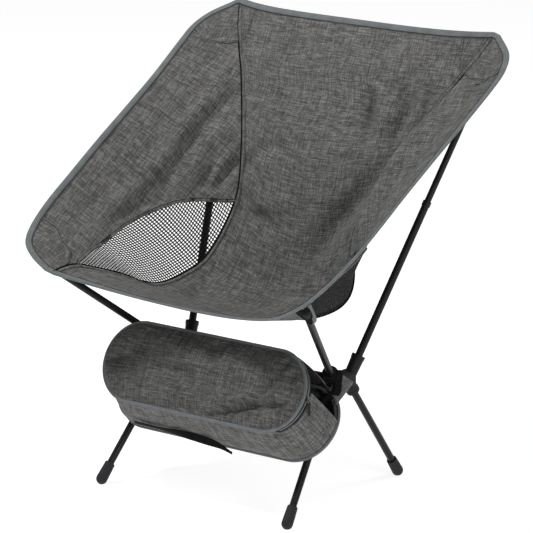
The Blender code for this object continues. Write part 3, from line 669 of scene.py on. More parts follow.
def inside_rim(points, margin=0.0012):
    """Points that stick out past the rounded outline, drawn in to it."""
    tree = KDTree(len(RIM_PATH))
    for k, place in enumerate(RIM_PATH):
        tree.insert(place, k)
    tree.balance()
    flat = np.array(points, float).reshape(-1, 3)
    nearest = np.array([tree.find(p)[1] for p in flat])
    past = margin - ((flat - RIM_PATH[nearest]) * RIM_INWARD[nearest]).sum(1)
    close = np.linalg.norm(flat - RIM_PATH[nearest], axis=1) < 0.03
    flat += RIM_INWARD[nearest] * (np.maximum(past, 0.0) * close)[:, None]
    return flat.reshape(np.shape(points))


def side_cloth(w, v, lift=0.0, side=1):
    """A side panel with its folds, as if on the right; lift is how far off the cloth, towards the sitter."""
    w, v = np.broadcast_arrays(np.asarray(w, float), np.asarray(v, float))
    base = side_surface(w, v)
    rise = fold_heights(base, SIDE_CREASES[side]) * share(w, 0.0, 0.05) * share(1.0 - w, 0.0, 0.12)
    return base + side_normal(v) * (rise + lift)[..., None]


def middle_normal(u, v):
    """Square to the middle panel, towards the sitter."""
    step = 0.004
    across = middle_surface(np.minimum(u + step, 1.0), v) - middle_surface(np.maximum(u - step, -1.0), v)
    along = middle_surface(u, np.minimum(v + step, 1.0)) - middle_surface(u, np.maximum(v - step, 0.0))
    return unit(np.cross(across, along))


def middle_cloth(u, v, lift=0.0):
    """The middle panel with its folds."""
    u, v = np.broadcast_arrays(np.asarray(u, float), np.asarray(v, float))
    base = middle_surface(u, v)
    rise = fold_heights(base, MIDDLE_CREASES) * share(1.0 - np.abs(u), 0.0, 0.10) * share(v, 0.0, 0.05)
    return base + middle_normal(u, v) * (rise + lift)[..., None]


def leaf_rows(count=64):
    """Rows along the seam, close together where the mesh leaf turns."""
    leaf = (1.0 - np.cos(np.linspace(0.0, math.pi, count))) / 2.0
    below = np.linspace(0.0, MESH_START, 24)[:-1]
    above = np.linspace(MESH_END, 1.0, 70)[1:]
    return np.concatenate([below, MESH_START + (MESH_END - MESH_START) * leaf, above])


def flat_cut(grid):
    """A side panel's points as they lie in its own plane, the grain along the rim."""
    flat = grid.reshape(-1, 3) - grid.reshape(-1, 3).mean(axis=0)
    long_way, cross_way, _ = np.linalg.svd(flat[::7], full_matrices=False)[2]
    grain = unit(grid[-40, -1] - grid[len(grid) // 2, -1])
    grain = unit(np.array([grain @ long_way, grain @ cross_way]))
    local = np.stack([flat @ long_way, flat @ cross_way], 1)
    return np.stack([local @ (grain[1], -grain[0]), local @ grain], 1)


def make_sling_panels():
    u, v = np.linspace(-1.0, 1.0, 161)[None], np.linspace(0.0, 1.0, 261)[:, None]
    cloth_piece("sling_middle", inside_rim(middle_cloth(u, v)), SLING_CLOTH, HEATHER,
                node="middle_panel")
    rows = leaf_rows()
    for side, tag in SIDES:
        inner = leaf_edge(rows, side)[:, None]
        w = inner + (1.0 - inner) * np.linspace(0.0, 1.0, 64)[None]
        panel = inside_rim(side_cloth(w, rows[:, None], 0.0, side))
        cloth_piece(f"sling_side_{tag}", panel, SLING_CLOTH, HEATHER, flat_cut(panel),
                    f"side_panel_{tag}", side)


# ---- netting -------------------------------------------------------------------------------------------
NET_STEP, NET_HOLE, NET_HEM, NET_THREAD = (0.0039, 0.0050), 0.70, 0.0040, 0.0007


def net_pattern(side):
    """The net laid flat: x from the seam, y along it. Returns its points, faces and share of the seam."""
    v = np.linspace(MESH_START - 0.01, MESH_END + 0.01, 240)
    seam = smooth_line(SEAM, v)
    lengths = lengths_along(seam)
    widths = np.linalg.norm(smooth_line(RIM, v) - seam, axis=1)
    edges = leaf_edge(v, side) * widths
    points, faces, knots = [], [], {}
    rim = [(-1, -1), (0, -1), (1, -1), (1, 0), (1, 1), (0, 1), (-1, 1), (-1, 0)]

    def knot(i, j):
        if (i, j) not in knots:
            knots[(i, j)] = len(points)
            points.append((i * NET_STEP[0] / 2, j * NET_STEP[1] / 2, 0.00015 * (1 if (i + j) % 4 else -1)))
        return knots[(i, j)]

    for j in range(1, int(2 * lengths[-1] / NET_STEP[1]), 2):
        t = j * NET_STEP[1] / 2
        if np.interp(t, lengths, edges) <= 0.0:
            continue
        for i in range(1, int(2 * edges.max() / NET_STEP[0]) + 8, 2):
            s = i * NET_STEP[0] / 2
            if s > np.interp(t, lengths, edges) + NET_HEM:
                break
            corners = [knot(i + a, j + b) for a, b in rim]
            base = len(points)
            for a, b in rim:
                round_off = 0.80 if a and b else 1.0
                points.append((s + a * NET_STEP[0] / 2 * NET_HOLE * round_off,
                               t + b * NET_STEP[1] / 2 * NET_HOLE * round_off, 0.0))
            faces += [(corners[k], corners[(k + 1) % 8], base + (k + 1) % 8, base + k) for k in range(8)]
    flat = np.array(points)
    at = np.interp(flat[:, 1], lengths, v)
    return flat, faces, at, flat[:, 0] / np.interp(at, v, widths)


def make_netting():
    """The hip leaves: an open knit, its rounded holes in rows along the seam."""
    leaf_v = np.linspace(MESH_START, MESH_END, 60)[:, None]
    for side, tag in SIDES:
        flat, faces, at, w = net_pattern(side)
        placed = side_cloth(w, at, flat[:, 2] - 0.0011, side)
        cut = side_surface(leaf_edge(leaf_v, side) * np.linspace(0.0, 1.0, 20)[None] + 0.03, leaf_v)
        net = new_piece(f"hip_netting_{tag}", flipped(placed, side), faces, NETTING, flat[:, :2],
                        node=f"mesh_panel_{tag}")
        thicken(net, NET_THREAD)
        declare(flipped(cut, side))


HEM_SECTION = [(-0.0008, 0.0), (-0.0003, 0.0008), (0.0010, 0.0012), (0.0044, 0.0011), (0.0052, 0.0005),
               (0.0052, -0.0004), (0.0, -0.0004)]


def make_leaf_hems():
    """Turned hems round the leaves, on both faces of the side panels."""
    for side, tag in SIDES:
        end = RIGHT_LEAF_END if side > 0 else MESH_END
        v = MESH_START + (end - MESH_START) * (1.0 - np.cos(np.linspace(0.0, math.pi, 90))) / 2.0
        edge = side_surface(leaf_edge(v, side), v)
        path = resampled(edge, 0.0022)
        centre = path.mean(axis=0)
        near = v[np.array([int(np.argmin(np.linalg.norm(edge - p, axis=1))) for p in path])]
        followed = side_cloth(leaf_edge(near, side), near, 0.0, side)
        up = side_normal(near)
        across = unit(np.cross(tangents(path), up))
        across *= np.sign((across * (path - centre)).sum(1).mean())
        for face, out, lift, material in (("inner", up, 0.0005, HEATHER), ("outer", -up, 0.0016, PLAIN_TRIM)):
            base = followed + out * lift
            sweep(f"leaf_hem_{face}_{tag}", base, across, out, HEM_SECTION, material, side=side)
            stitches(f"leaf_hem_stitches_{face}_{tag}", base + across * 0.0038 + out * 0.00115, out, THREAD,
                     HEM_ROW, side=side)


# ---- seams and patches ---------------------------------------------------------------------------------
LAP_SECTION = [(-0.0012, -0.0008), (-0.0012, 0.0008), (-0.0004, 0.0015), (0.0046, 0.0015), (0.0056, 0.0007),
               (0.0056, -0.0007), (0.0046, -0.0015), (-0.0004, -0.0015)]


def make_seams():
    """The lapped seams between the middle panel and the side panels, each with a painted shadow line beside
    it: a dark tube in the thread colour.
    """
    v = np.linspace(0.012, 0.992, 200)
    line = inside_rim(smooth_line(SEAM, v))
    toward = unit(middle_surface(0.94, v) - line)
    along = tangents(line)
    toward = square_to(along, toward)
    up = unit(np.cross(toward, along))
    up *= np.sign((up * middle_normal(np.full(len(v), 0.97), v)).sum(1, keepdims=True))
    for side, tag in SIDES:
        sweep(f"seam_lap_{tag}", line, toward, up, LAP_SECTION, HEATHER, side=side)
        for face, out in (("inner", up), ("outer", -up)):
            # A dark tube on each face beside the seam, in the thread colour: a painted shadow line along the
            # step of the lap.
            sweep(f"seam_shadow_{face}_{tag}", line - toward * 0.0020 + out * 0.0016, toward, up,
                  ring(0.0012, 6), THREAD, side=side, slot="heather_polyester")
            stitches(f"seam_stitches_{face}_{tag}", line + toward * 0.0040 + out * 0.0015, out, THREAD,
                     SEAM_ROW, side=side)


def profile(knots, at):
    knots = np.array(knots, float)
    return np.interp(at, knots[:, 0], knots[:, 1])


# Where the corner patches end: (share from seam to rim, share along the seam), and on the middle panel
# (share along the seam, share from the middle to the seam).
TOP_PATCH_SIDE = [(0.0, 0.856), (0.03, 0.856), (0.685, 0.79), (0.89, 0.812), (1.0, 0.82)]
TOP_PATCH_MIDDLE = [(0.860, 1.0), (0.872, 0.935), (0.914, 0.88), (0.978, 0.82), (1.0, 0.80)]
FRONT_PATCH_SIDE = [(0.0, 0.05), (0.11, 0.145), (0.425, 0.212), (0.68, 0.252), (0.79, 0.28), (1.0, 0.295)]
PATCH_LIFT = 0.0010


def make_patches():
    """Reinforcing patches sewn over the corners, on the sitter's side."""
    w = np.linspace(0.0, 0.965, 46)[None]
    t = np.linspace(0.0, 1.0, 26)[:, None]
    low, high = profile(TOP_PATCH_SIDE, w), profile(FRONT_PATCH_SIDE, w)
    v_middle = np.linspace(0.861, 0.995, 40)[:, None]
    u_edge = profile(TOP_PATCH_MIDDLE, v_middle)
    u = u_edge + (1.0 - u_edge) * np.linspace(0.0, 1.0, 22)[None]
    crown = inside_rim(middle_cloth(u, v_middle, PATCH_LIFT), 0.004)
    crown_row = (middle_cloth(u_edge[:, 0] + 0.012, v_middle[:, 0], PATCH_LIFT + 0.0006),
                 middle_normal(u_edge[:, 0], v_middle[:, 0]))
    for side, tag in SIDES:
        top = inside_rim(side_cloth(w, low + (0.994 - low) * t, PATCH_LIFT, side), 0.004)
        front = inside_rim(side_cloth(w, high + (0.012 - high) * t, PATCH_LIFT, side), 0.004)
        top_row = (side_cloth(w[0], low[0] + 0.007, PATCH_LIFT + 0.0006, side), side_normal(low[0]))
        front_row = (side_cloth(w[0], high[0] - 0.0056, PATCH_LIFT + 0.0006, side), side_normal(high[0]))
        for name, grid, (line, up) in (("top_side", top, top_row), ("front", front, front_row),
                                       ("top_middle", crown, crown_row)):
            cloth_piece(f"corner_patch_{name}_{tag}", grid, PATCH_CLOTH, PATCH_HEATHER,
                        side=side)
            stitches(f"patch_stitches_{name}_{tag}", line, up, PATCH_THREAD, PATCH_ROW, side=side)


# The cloth over the right hip slumps inwards over its seam.
SLUMP_V, SLUMP_REACH, SLUMP = 0.555, 0.062, np.array([-0.0150, -0.0040, 0.0030])
SLUMPING = ("sling_middle", "sling_side_right", "hip_netting_right", "leaf_hem", "seam_")


def slump():
    centre = smooth_line(SEAM, SLUMP_V)
    for obj in bpy.data.objects:
        if obj.name.startswith(SLUMPING):
            points = mesh_points(obj.data)
            fall = np.exp(-((points - centre) ** 2).sum(1) / SLUMP_REACH ** 2)
            obj.data.vertices.foreach_set("co", (points + fall[:, None] * SLUMP).ravel())


# ---- corner pockets ------------------------------------------------------------------------------------
def panel_tree():
    """The right half of the sling, to find the cloth nearest to a point."""
    points, faces = [], []
    for grid in (middle_surface(np.linspace(0.0, 1.0, 60)[None], np.linspace(0.0, 1.0, 140)[:, None]),
                 side_surface(np.linspace(0.0, 1.0, 40)[None], np.linspace(0.0, 1.0, 140)[:, None])):
        base = len(points)
        points += grid.reshape(-1, 3).tolist()
        faces += [tuple(base + i for i in face) for face in grid_faces(*grid.shape[:2])]
    return BVHTree.FromPolygons(points, faces)


def node_axis(name):
    """A long straight CAD node's two ends."""
    points = mesh_points(NODES[name].data)
    middle = points.mean(axis=0)
    axis = np.linalg.svd(points - middle, full_matrices=False)[2][0]
    axis *= np.sign(axis[2]) or 1.0
    along = (points - middle) @ axis
    return middle + axis * along.min(), middle + axis * along.max(), axis


def pocket_grid(post, mouth, wide, narrow, clear, scoop):
    """Cloth over the end of a post: sewn to the panel at both sides, open where the post goes in. scoop
    gives how far the opening rises at the two sides, as shares of the pocket."""
    _, _, axis = node_axis(post)
    _, tip, _ = node_axis(post.replace("_upper", "").replace("post", "tip"))
    tree = panel_tree()
    rows, columns = 22, 41
    grid = np.zeros((rows, columns, 3))
    probe = tip - axis * mouth * 0.6
    near, _, _, _ = tree.find_nearest(Vector(probe))
    out = unit(probe - np.array(near))
    lateral = unit(np.cross(axis, out))
    for c in range(columns):
        x = 2.0 * c / (columns - 1) - 1.0
        start = scoop[0 if x < 0 else 1] * abs(x) ** 1.3
        for r in range(rows):
            t = start + (1.0 - start) * r / (rows - 1)
            centre = tip - axis * (mouth * (1.0 - t) - 0.002)
            half = narrow + (wide - narrow) * (1.0 - t)
            found, _, _, _ = tree.find_nearest(Vector(centre + lateral * x * half))
            base = np.array(found) + out * 0.0014
            hug = math.exp(-(max(abs(x) * half - clear * 0.55, 0.0) / (0.22 * half + 0.002)) ** 2)
            hug *= min(1.0, (1.0 - abs(x)) * 6.0)
            depth = float((centre + out * clear - base) @ out)
            grid[r, c] = base + out * max(depth, 0.0) * hug * (1.0 - 0.75 * t ** 3)
    return inside_rim(grid, 0.0005), out, lateral, axis


POCKET_HEM = [(0.0, -0.0012), (0.0, 0.0006), (0.0008, 0.0011), (0.0040, 0.0010), (0.0046, 0.0004),
              (0.0046, -0.0012)]
POCKET_TAPE = [(-0.0036, -0.0006), (-0.0036, 0.0006), (-0.0030, 0.0011), (0.0030, 0.0011), (0.0036, 0.0006),
               (0.0036, -0.0006)]


def make_pockets():
    """Cloth pockets over the four post ends, each hemmed, the front ones taped up one side."""
    for kind, post, mouth, wide, narrow, scoop in (
            ("front", "front_post_right", 0.026, 0.024, 0.012, (0.75, 0.30)),
            ("back", "back_post_upper_right", 0.062, 0.036, 0.012, (0.0, 0.0))):
        grid, out, lateral, axis = pocket_grid(post, mouth, wide, narrow, 0.0075, scoop)
        edge = grid[0]
        up = unit(np.cross(tangents(edge), -axis))
        up *= np.sign((up @ out).mean())
        for side, tag in SIDES:
            cloth_piece(f"corner_pocket_{kind}_{tag}", grid, SLING_CLOTH, WEBBING,
                        node=f"{kind}_pocket_{tag}", side=side)
            sweep(f"pocket_hem_{kind}_{tag}", edge - axis * 0.0008 + up * 0.0006, axis, up, POCKET_HEM,
                  WEBBING, side=side)
            if kind == "front":
                sweep(f"pocket_tape_{tag}", *pocket_tape(grid, out, lateral), POCKET_TAPE, PLAIN_TRIM,
                      side=side)


def pocket_tape(grid, out, lateral):
    """The folded tape that runs from the pocket's mouth up its seam side: path, across, up."""
    rows, columns = grid.shape[:2]
    seam_way = 1 if lateral @ (smooth_line(SEAM, 0.2) - grid[0, columns // 2]) > 0 else -1
    t = np.linspace(0.0, 1.0, 24)
    r, c = t * (rows - 1), columns // 2 + seam_way * (2.0 + 13.0 * t)
    low_r, low_c = np.minimum(r.astype(int), rows - 2), c.astype(int)
    fr, fc = (r - low_r)[:, None], (c - low_c)[:, None]
    path = ((grid[low_r, low_c] * (1 - fc) + grid[low_r, low_c + 1] * fc) * (1 - fr)
            + (grid[low_r + 1, low_c] * (1 - fc) + grid[low_r + 1, low_c + 1] * fc) * fr) + out * 0.0014
    along = tangents(path)
    up = square_to(along, out)
    return path, np.cross(up, along), up


# ---- binding ------------------------------------------------------------------------------------------
BINDING_SECTION = [(-0.0013, 0.0), (-0.0008, 0.0012), (0.0006, 0.0019), (0.0042, 0.0019), (0.0085, 0.0015),
                   (0.0091, 0.0008), (0.0091, -0.0008), (0.0085, -0.0015), (0.0042, -0.0019),
                   (0.0006, -0.0019), (-0.0008, -0.0012)]


CAST_FROM = 0.010


def cloth_under(reach, names):
    """How high the sewn cloth lies above the plane of the sling's edge, at reach in from it."""
    points, faces = [], []
    for name in names:
        mesh = bpy.data.objects[name].data
        base = len(points)
        points += [vertex.co.copy() for vertex in mesh.vertices]
        faces += [tuple(base + k for k in polygon.vertices) for polygon in mesh.polygons]
    tree = BVHTree.FromPolygons(points, faces)
    heights = np.zeros(len(RIM_PATH))
    for k, (place, inward, normal) in enumerate(zip(RIM_PATH, RIM_INWARD, RIM_NORMAL)):
        start = place + inward * reach + normal * CAST_FROM
        _, _, _, distance = tree.ray_cast(Vector(start), Vector(-normal), 2 * CAST_FROM)
        heights[k] = heights[k - 1] if distance is None else CAST_FROM - distance
    return blurred(heights, 1.8, 5)


def make_sling_binding():
    sewn = [f"{kind}_{tag}" for _, tag in SIDES for kind in ("sling_side", "corner_patch_top_side",
                                                             "corner_patch_front", "corner_patch_top_middle")]
    sewn.append("sling_middle")
    near, far = (cloth_under(reach, sewn) for reach in (0.0022, 0.0090))
    slope = (far - near) / 0.0068
    path = RIM_PATH + RIM_NORMAL * (near - 0.0022 * slope + 0.0002)[:, None]
    inward = unit(RIM_INWARD + RIM_NORMAL * slope[:, None])
    normal = unit(np.cross(tangents(path, closed=True), inward))
    sweep("sling_edge_tape", path, inward, normal, BINDING_SECTION, TRIM, closed=True, node="sling_binding")
    for name, face in (("inner", 1.0), ("outer", -1.0)):
        line = path + inward * 0.0082 + normal * face * 0.0017
        stitches(f"sling_edge_stitches_{name}", line, normal * face, THREAD, EDGE_ROW, closed=True)


# ---- pouch ---------------------------------------------------------------------------------------------
LID_HALF, BACK_HALF, END_RADIUS = 0.1838, 0.1960, 0.0614
LID_FOOT, LID_TILT = (0.0, -0.1767, 0.1335), 62.1
BACK_FOOT, BACK_TILT = (0.0, -0.1245, 0.0805), 54.8
EDGE = 0.0022                     # half the thickness of the CAD bindings
TAPE = 0.005                      # each zip tape's width
ARC = 9                           # outline marks in a quarter turn: 0 to 18 the right end, 19 to 37 the left
ZIP_RUN, CLOSED_RUN, FOOT_RUN_END = (3.0, 34.0), (16.0, 48.0), 40.9


def panel_matrix(foot, tilt):
    return np.array(Matrix.Translation(foot) @ Matrix.Rotation(math.radians(tilt), 4, "X"))


LID_SPACE, BACK_SPACE = panel_matrix(LID_FOOT, LID_TILT), panel_matrix(BACK_FOOT, BACK_TILT)


def placed(space, points):
    points = np.asarray(points, float)
    return points @ space[:3, :3].T + space[:3, 3]


def turned_by(space, directions):
    return np.asarray(directions, float) @ space[:3, :3].T


def oblong(half, marks, inset=0.0):
    """A panel's outline at the given marks, anticlockwise from the foot of its right end: x, y."""
    marks = np.mod(np.asarray(marks, float), 4 * ARC + 2)
    right = np.minimum(marks, 2 * ARC)
    left = np.maximum(marks, 2 * ARC + 1) - (2 * ARC + 1)
    radius, centre = END_RADIUS - inset, half - END_RADIUS
    points = []
    for side, turn in ((1, -90.0 + 10.0 * right), (-1, 90.0 + 10.0 * np.minimum(left, 2 * ARC))):
        angle = np.radians(turn)
        x, y = side * centre + radius * np.cos(angle), END_RADIUS + radius * np.sin(angle)
        points.append(np.stack([x, y], -1))
    top = np.clip(marks - 2 * ARC, 0.0, 1.0)[..., None]
    foot = np.clip(marks - (4 * ARC + 1), 0.0, 1.0)[..., None]
    start = np.array([centre, END_RADIUS - radius])
    made = points[0] * (1.0 - top) + points[1] * top
    return made * (1.0 - foot) + start * foot


def even_marks(start, end, half, spacing):
    """Marks from start to end, evenly spaced in metres along the outline."""
    fine = np.linspace(start, end, 900)
    length = lengths_along(oblong(half, fine))
    count = max(int(round(length[-1] / spacing)), 8)
    return np.interp(np.linspace(0.0, length[-1], count + 1), length, fine)


def outline(space, half, marks, inset=EDGE, depth=0.0):
    flat = oblong(half, marks, inset)
    return placed(space, np.concatenate([flat, np.full((*flat.shape[:-1], 1), depth)], axis=-1))


def fabric_disc(half, spacing, inset=0.0035):
    """A panel's cut as a flat mesh of even triangles: points and faces, the outline's points first."""
    marks = even_marks(0.0, 4 * ARC + 2, half, spacing)[:-1]
    rim = oblong(half, marks, inset)
    inside = []
    rise = spacing * math.sqrt(0.75)
    for r in range(int(2 * END_RADIUS / rise) + 1):
        y = r * rise
        for c in range(-int(half / spacing) - 1, int(half / spacing) + 2):
            x = (c + 0.5 * (r % 2)) * spacing
            gap = math.hypot(max(abs(x) - (half - END_RADIUS), 0.0), y - END_RADIUS)
            if gap < END_RADIUS - inset - spacing * 0.6:
                inside.append((x, y))
    flat = [Vector(p) for p in rim.tolist() + inside]
    border = [list(range(len(rim)))]
    points, _, faces, *_ = delaunay_2d_cdt(flat, [], border, 1, 1e-7)
    return np.array([tuple(p) for p in points]), [tuple(face) for face in faces]


def from_edge(points, half):
    """How far in from a panel's outline each local point is."""
    past_centre = np.maximum(np.abs(points[:, 0]) - (half - END_RADIUS), 0.0)
    return END_RADIUS - np.hypot(past_centre, points[:, 1] - END_RADIUS)


SETTLE_FRAMES, SETTLE_SCALE = 22, 10.0    # the cloth settles ten times its size, where the solver is steady


def stuffed(name, half, spacing, swell, slack, cap):
    """A panel's cloth after it has settled: pinned round its edge, a little larger than its frame, and
    pushed out from behind, so that it fills and creases. Returns local points, faces and the flat cut."""
    flat, faces = fabric_disc(half, spacing)
    gap = from_edge(flat, half)
    edge = gap < 0.0045
    dome = 0.006 * np.sqrt(np.clip(gap / END_RADIUS, 0.0, 1.0))
    ripple = 0.0010 * (np.sin(flat[:, 0] * 97.0 + 1.3 * np.sin(flat[:, 1] * 61.0))
                       + np.sin(flat[:, 0] * 43.0 - flat[:, 1] * 88.0 + 0.8))
    points = np.column_stack([flat, dome + ripple * share(gap, 0.004, 0.02)])
    mesh = bpy.data.meshes.new(name)
    mesh.from_pydata((points * SETTLE_SCALE).tolist(), [], faces)
    obj = add_object(name, mesh)
    group = obj.vertex_groups.new(name="pin")
    group.add([int(i) for i in np.nonzero(edge)[0]], 1.0, "REPLACE")
    cloth = obj.modifiers.new("cloth", "CLOTH")
    settings = cloth.settings
    settings.quality = 8
    settings.mass = 0.3
    settings.tension_stiffness = settings.compression_stiffness = 30.0
    settings.shear_stiffness = 15.0
    settings.bending_stiffness = 0.35
    settings.air_damping = 4.0
    settings.vertex_group_mass = "pin"
    settings.use_pressure = True
    settings.uniform_pressure_force = swell
    settings.shrink_min = -slack
    settings.effector_weights.gravity = 0.0
    cloth.collision_settings.use_self_collision = False
    cloth.point_cache.frame_start, cloth.point_cache.frame_end = 1, SETTLE_FRAMES
    scene = bpy.context.scene
    for step in range(1, SETTLE_FRAMES + 1):
        scene.frame_set(step)
        bpy.context.view_layer.update()
    settled = obj.evaluated_get(bpy.context.evaluated_depsgraph_get()).to_mesh()
    moved = mesh_points(settled) / SETTLE_SCALE
    scene.frame_set(1)
    bpy.data.objects.remove(obj)
    bpy.data.meshes.remove(mesh)
    moved[:, 2] = np.clip(moved[:, 2], cap[0], cap[1])
    moved[edge] = points[edge]
    return moved, faces, flat


# Creases pressed into the lid: their knots are (along, up) in its plane, in millimetres.
LID_CREASES = [
    (-110, 60, (20, 4), (64, 20), (106, 32), (149, 42), (170, 47)),
    (76, 80, (30, 17), (75, 34), (112, 47), (150, 56)),
    (-85, 75, (137, 90), (127, 60), (108, 41), (78, 25)),
    (51, 70, (146, 75), (140, 56), (128, 44)),
    (-110, 150, (-80, 60), (-22, 52), (-6, 34)),
    (59, 130, (-85, 40), (-45, 32), (-15, 18)),
    (-59, 50, (150, 114), (134, 92)),
    (51, 50, (162, 102), (148, 86)),
    (-51, 45, (170, 94), (157, 80)),
    (-76, 45, (-172, 52), (-149, 63), (-132, 65)),
    (51, 80, (-160, 30), (-140, 40), (-120, 38)),
    (-68, 120, (30, 118), (11, 100), (22, 75)),
    (-61, 110, (-120, 112), (-110, 92), (-118, 75)),
]


def creased(points, creases):
    """Local points of a panel with creases pressed in, away from its sewn edge."""
    lines = crease_lines(creases, lambda x, y: np.column_stack([x, y, np.zeros(len(x))]), 40)
    gap = from_edge(points, np.abs(points[:, 0]).max())
    rise = fold_heights(points * (1.0, 1.0, 0.0), lines) * share(gap, 0.0045, 0.014)
    return points + rise[:, None] * (0.0, 0.0, 1.0)


def make_panel_cloth(name, node, space, half, body, material, outward, lift, swell, slack, cap, creases=()):
    """A settled panel of cloth on its CAD node, with its thickness on the side that faces in."""
    points, faces, flat = stuffed(name, half, 0.0036, swell, slack, cap)
    points = creased(points, creases) if creases else points
    local = points * (1.0, 1.0, outward) + (0.0, 0.0, lift * outward)
    faces = faces if outward > 0 else [face[::-1] for face in faces]
    piece = new_piece(name, placed(space, local), faces, material, flat, body=body, node=node)
    thicken(piece, POUCH_CLOTH, -1.0)
    fine = piece.modifiers.new("fine", "SUBSURF")
    fine.levels = fine.render_levels = 1


def edge_tape(name, node, space, half, body, width, thick, rows_in):
    """Tape folded round a panel's edge, with rows of stitches that far in from it, each row laid on a dark
    tube that paints the shade along it.
    """
    marks = even_marks(0.0, 4 * ARC + 2, half, 0.003)[:-1]
    path = outline(space, half, marks, 0.0)
    inward = unit(outline(space, half, marks, 0.01) - path)
    up = turned_by(space, (0.0, 0.0, 1.0))
    puff = 1.0 + 0.05 * np.sin(np.arange(len(marks)) * 0.9) + 0.04 * np.sin(np.arange(len(marks)) * 0.37)
    upper = [(0.0002, 0.75), (0.0016, 1.0), (width * 0.6, 0.95), (width - 0.0006, 0.85), (width, 0.45)]
    section = [(-0.0004, 0.0)]
    section += [(x, thick * y) for x, y in upper] + [(x, -thick * y) for x, y in upper[::-1]]
    sweep(name, path, inward, up, section, TRIM, closed=True, scale=puff, node=node, body=body)
    for k, reach in enumerate(rows_in):
        for face, out in (("out", up), ("in", -up)):
            line = path + inward * reach + out * thick * 0.90
            # A dark tube under each row of stitches, in the thread colour: painted shade where the stitches
            # sink into the tape.
            sweep(f"{name}_groove_{k}_{face}", line, inward, up, ring(0.00075, 6), THREAD, closed=True,
                  slot="binding_tape", body=body)
            stitches(f"{name}_stitches_{k}_{face}", line + out * thick * 0.10, out, THREAD, TAPE_ROW,
                     closed=True, body=body)


def zip_tape(name, node, body, depth, teeth_at):
    """One of the zip's two tapes, hanging from that depth, with its teeth."""
    marks = even_marks(*ZIP_RUN, LID_HALF, 0.003)
    path = outline(LID_SPACE, LID_HALF, marks, EDGE, -depth)
    away = unit(path - outline(LID_SPACE, LID_HALF, marks, 0.01, -depth))
    down = turned_by(LID_SPACE, (0.0, 0.0, -1.0))
    section = [(-0.0004, 0.0002), (0.0004, 0.0002), (0.0006, TAPE * 0.5), (0.0004, TAPE - 0.0002),
               (-0.0004, TAPE - 0.0002), (-0.0006, TAPE * 0.5)]
    sweep(name, path, away, down, section, WEBBING, node=node, body=body)
    teeth_line = resampled(path + down * teeth_at + away * 0.0003, 0.0018)
    out = unit(teeth_line - placed(LID_SPACE, [0.0, END_RADIUS, -depth - teeth_at]))
    stitches(f"{name}_teeth", teeth_line, square_to(tangents(teeth_line), out), STEEL, ZIP_TEETH, body=body)


BAND_HEM = [(-0.0006, 0.0), (0.0, 0.0009), (0.0038, 0.0010), (0.0044, 0.0), (0.0038, -0.0010), (0.0, -0.0009)]


def make_gusset():
    """The band round the pouch, from the zip to the back panel; the right end hangs open."""
    marks = even_marks(*CLOSED_RUN, LID_HALF, 0.004)
    zip_end = ZIP_RUN[1]
    past_zip = share(marks, zip_end + 0.1, zip_end + 1.0) * share(-marks, -FOOT_RUN_END, 0.8 - FOOT_RUN_END)
    depth = EDGE + 0.0006 + (2 * TAPE + 0.0011) * (1.0 - past_zip)
    near = placed(LID_SPACE, np.column_stack([oblong(LID_HALF, marks, EDGE), -depth]))
    far = outline(BACK_SPACE, BACK_HALF, marks, EDGE, EDGE + 0.0004)
    across = np.linspace(0.0, 1.0, 18)[None]
    grid = near[:, None] * (1.0 - across[..., None]) + far[:, None] * across[..., None]
    length = np.linspace(0.0, 1.0, len(marks))[:, None]
    middle = placed(LID_SPACE, [0.0, END_RADIUS, -0.02])
    out = unit(near + far - 2 * middle)
    out[:, 0] = np.where(np.abs(near[:, 0]) < LID_HALF - END_RADIUS, 0.0, out[:, 0])
    out = unit(out)
    run = length * 0.75
    under_pull = (0.5 * share(marks, 39.0, 40.2) * share(-marks, -45.0, -43.0))[:, None]
    under_pull = under_pull * share(0.65 - across, 0.0, 0.20)
    bulge = 0.0040 * (4 * across * (1.0 - across)) ** 0.8 * (1.0 - under_pull)
    crease = (0.0012 * np.sin(run * 92.0 + 3.0 * across + 1.7 * np.sin(run * 31.0))
              + 0.0009 * np.sin(run * 151.0 - 5.0 * across + 0.6) + 0.0008 * np.sin(run * 47.0 + 2.0))
    ends = share(length, 0.0, 0.03) * share(1.0 - length, 0.0, 0.02)
    lift = bulge + crease * np.sin(math.pi * across) * (0.35 + 0.65 * ends) * (1.0 - under_pull)
    grid = grid + out[:, None] * lift[..., None]
    cloth_piece("pouch_band", grid, POUCH_CLOTH, HEATHER, node="pouch_gusset")
    for name, column, inner, thread in (("zip_side", 0, 1, PALE_THREAD), ("back_side", -1, -2, THREAD)):
        line = grid[:, column] * 0.35 + grid[:, inner] * 0.65 + out * 0.0006
        stitches(f"band_stitches_{name}", line, out, thread, BAND_ROW)
    for name, end, inner in (("near", -1, -3), ("far", 0, 2)):
        sweep(f"band_end_hem_{name}", grid[end], unit(grid[inner] - grid[end]), out[end], BAND_HEM, HEATHER)


def make_hook_patch():
    """The square of hook tape inside the open end: a base with rows of hooks."""
    size, centre, lift = (0.023, 0.021), (0.161, 0.0885), 0.0024
    outline_xy = np.array([(-0.5, -0.5), (0.5, -0.5), (0.5, 0.5), (-0.5, 0.5)]) * size
    points = [(*(outline_xy[k % 4] + centre), lift + 0.0011 * (k > 3)) for k in range(8)]
    faces = [(3, 2, 1, 0), (4, 5, 6, 7)] + [(k, (k + 1) % 4, (k + 1) % 4 + 4, k + 4) for k in range(4)]
    for i in range(17):
        for j in range(15):
            x = centre[0] - 0.0104 + i * 0.0013
            y = centre[1] - 0.0096 + j * 0.00137
            base = len(points)
            points += [(x - 0.0003, y, lift + 0.0010), (x + 0.0003, y - 0.0002, lift + 0.0010),
                       (x + 0.0003, y + 0.0002, lift + 0.0010), (x + 0.00035, y, lift + 0.0024)]
            faces += [(base, base + 1, base + 3), (base + 1, base + 2, base + 3), (base + 2, base, base + 3),
                      (base, base + 2, base + 1)]
    patch = new_piece("hook_tape_square", placed(BACK_SPACE, points), faces, WEBBING, node="hook_patch")
    patch.data.shade_flat()


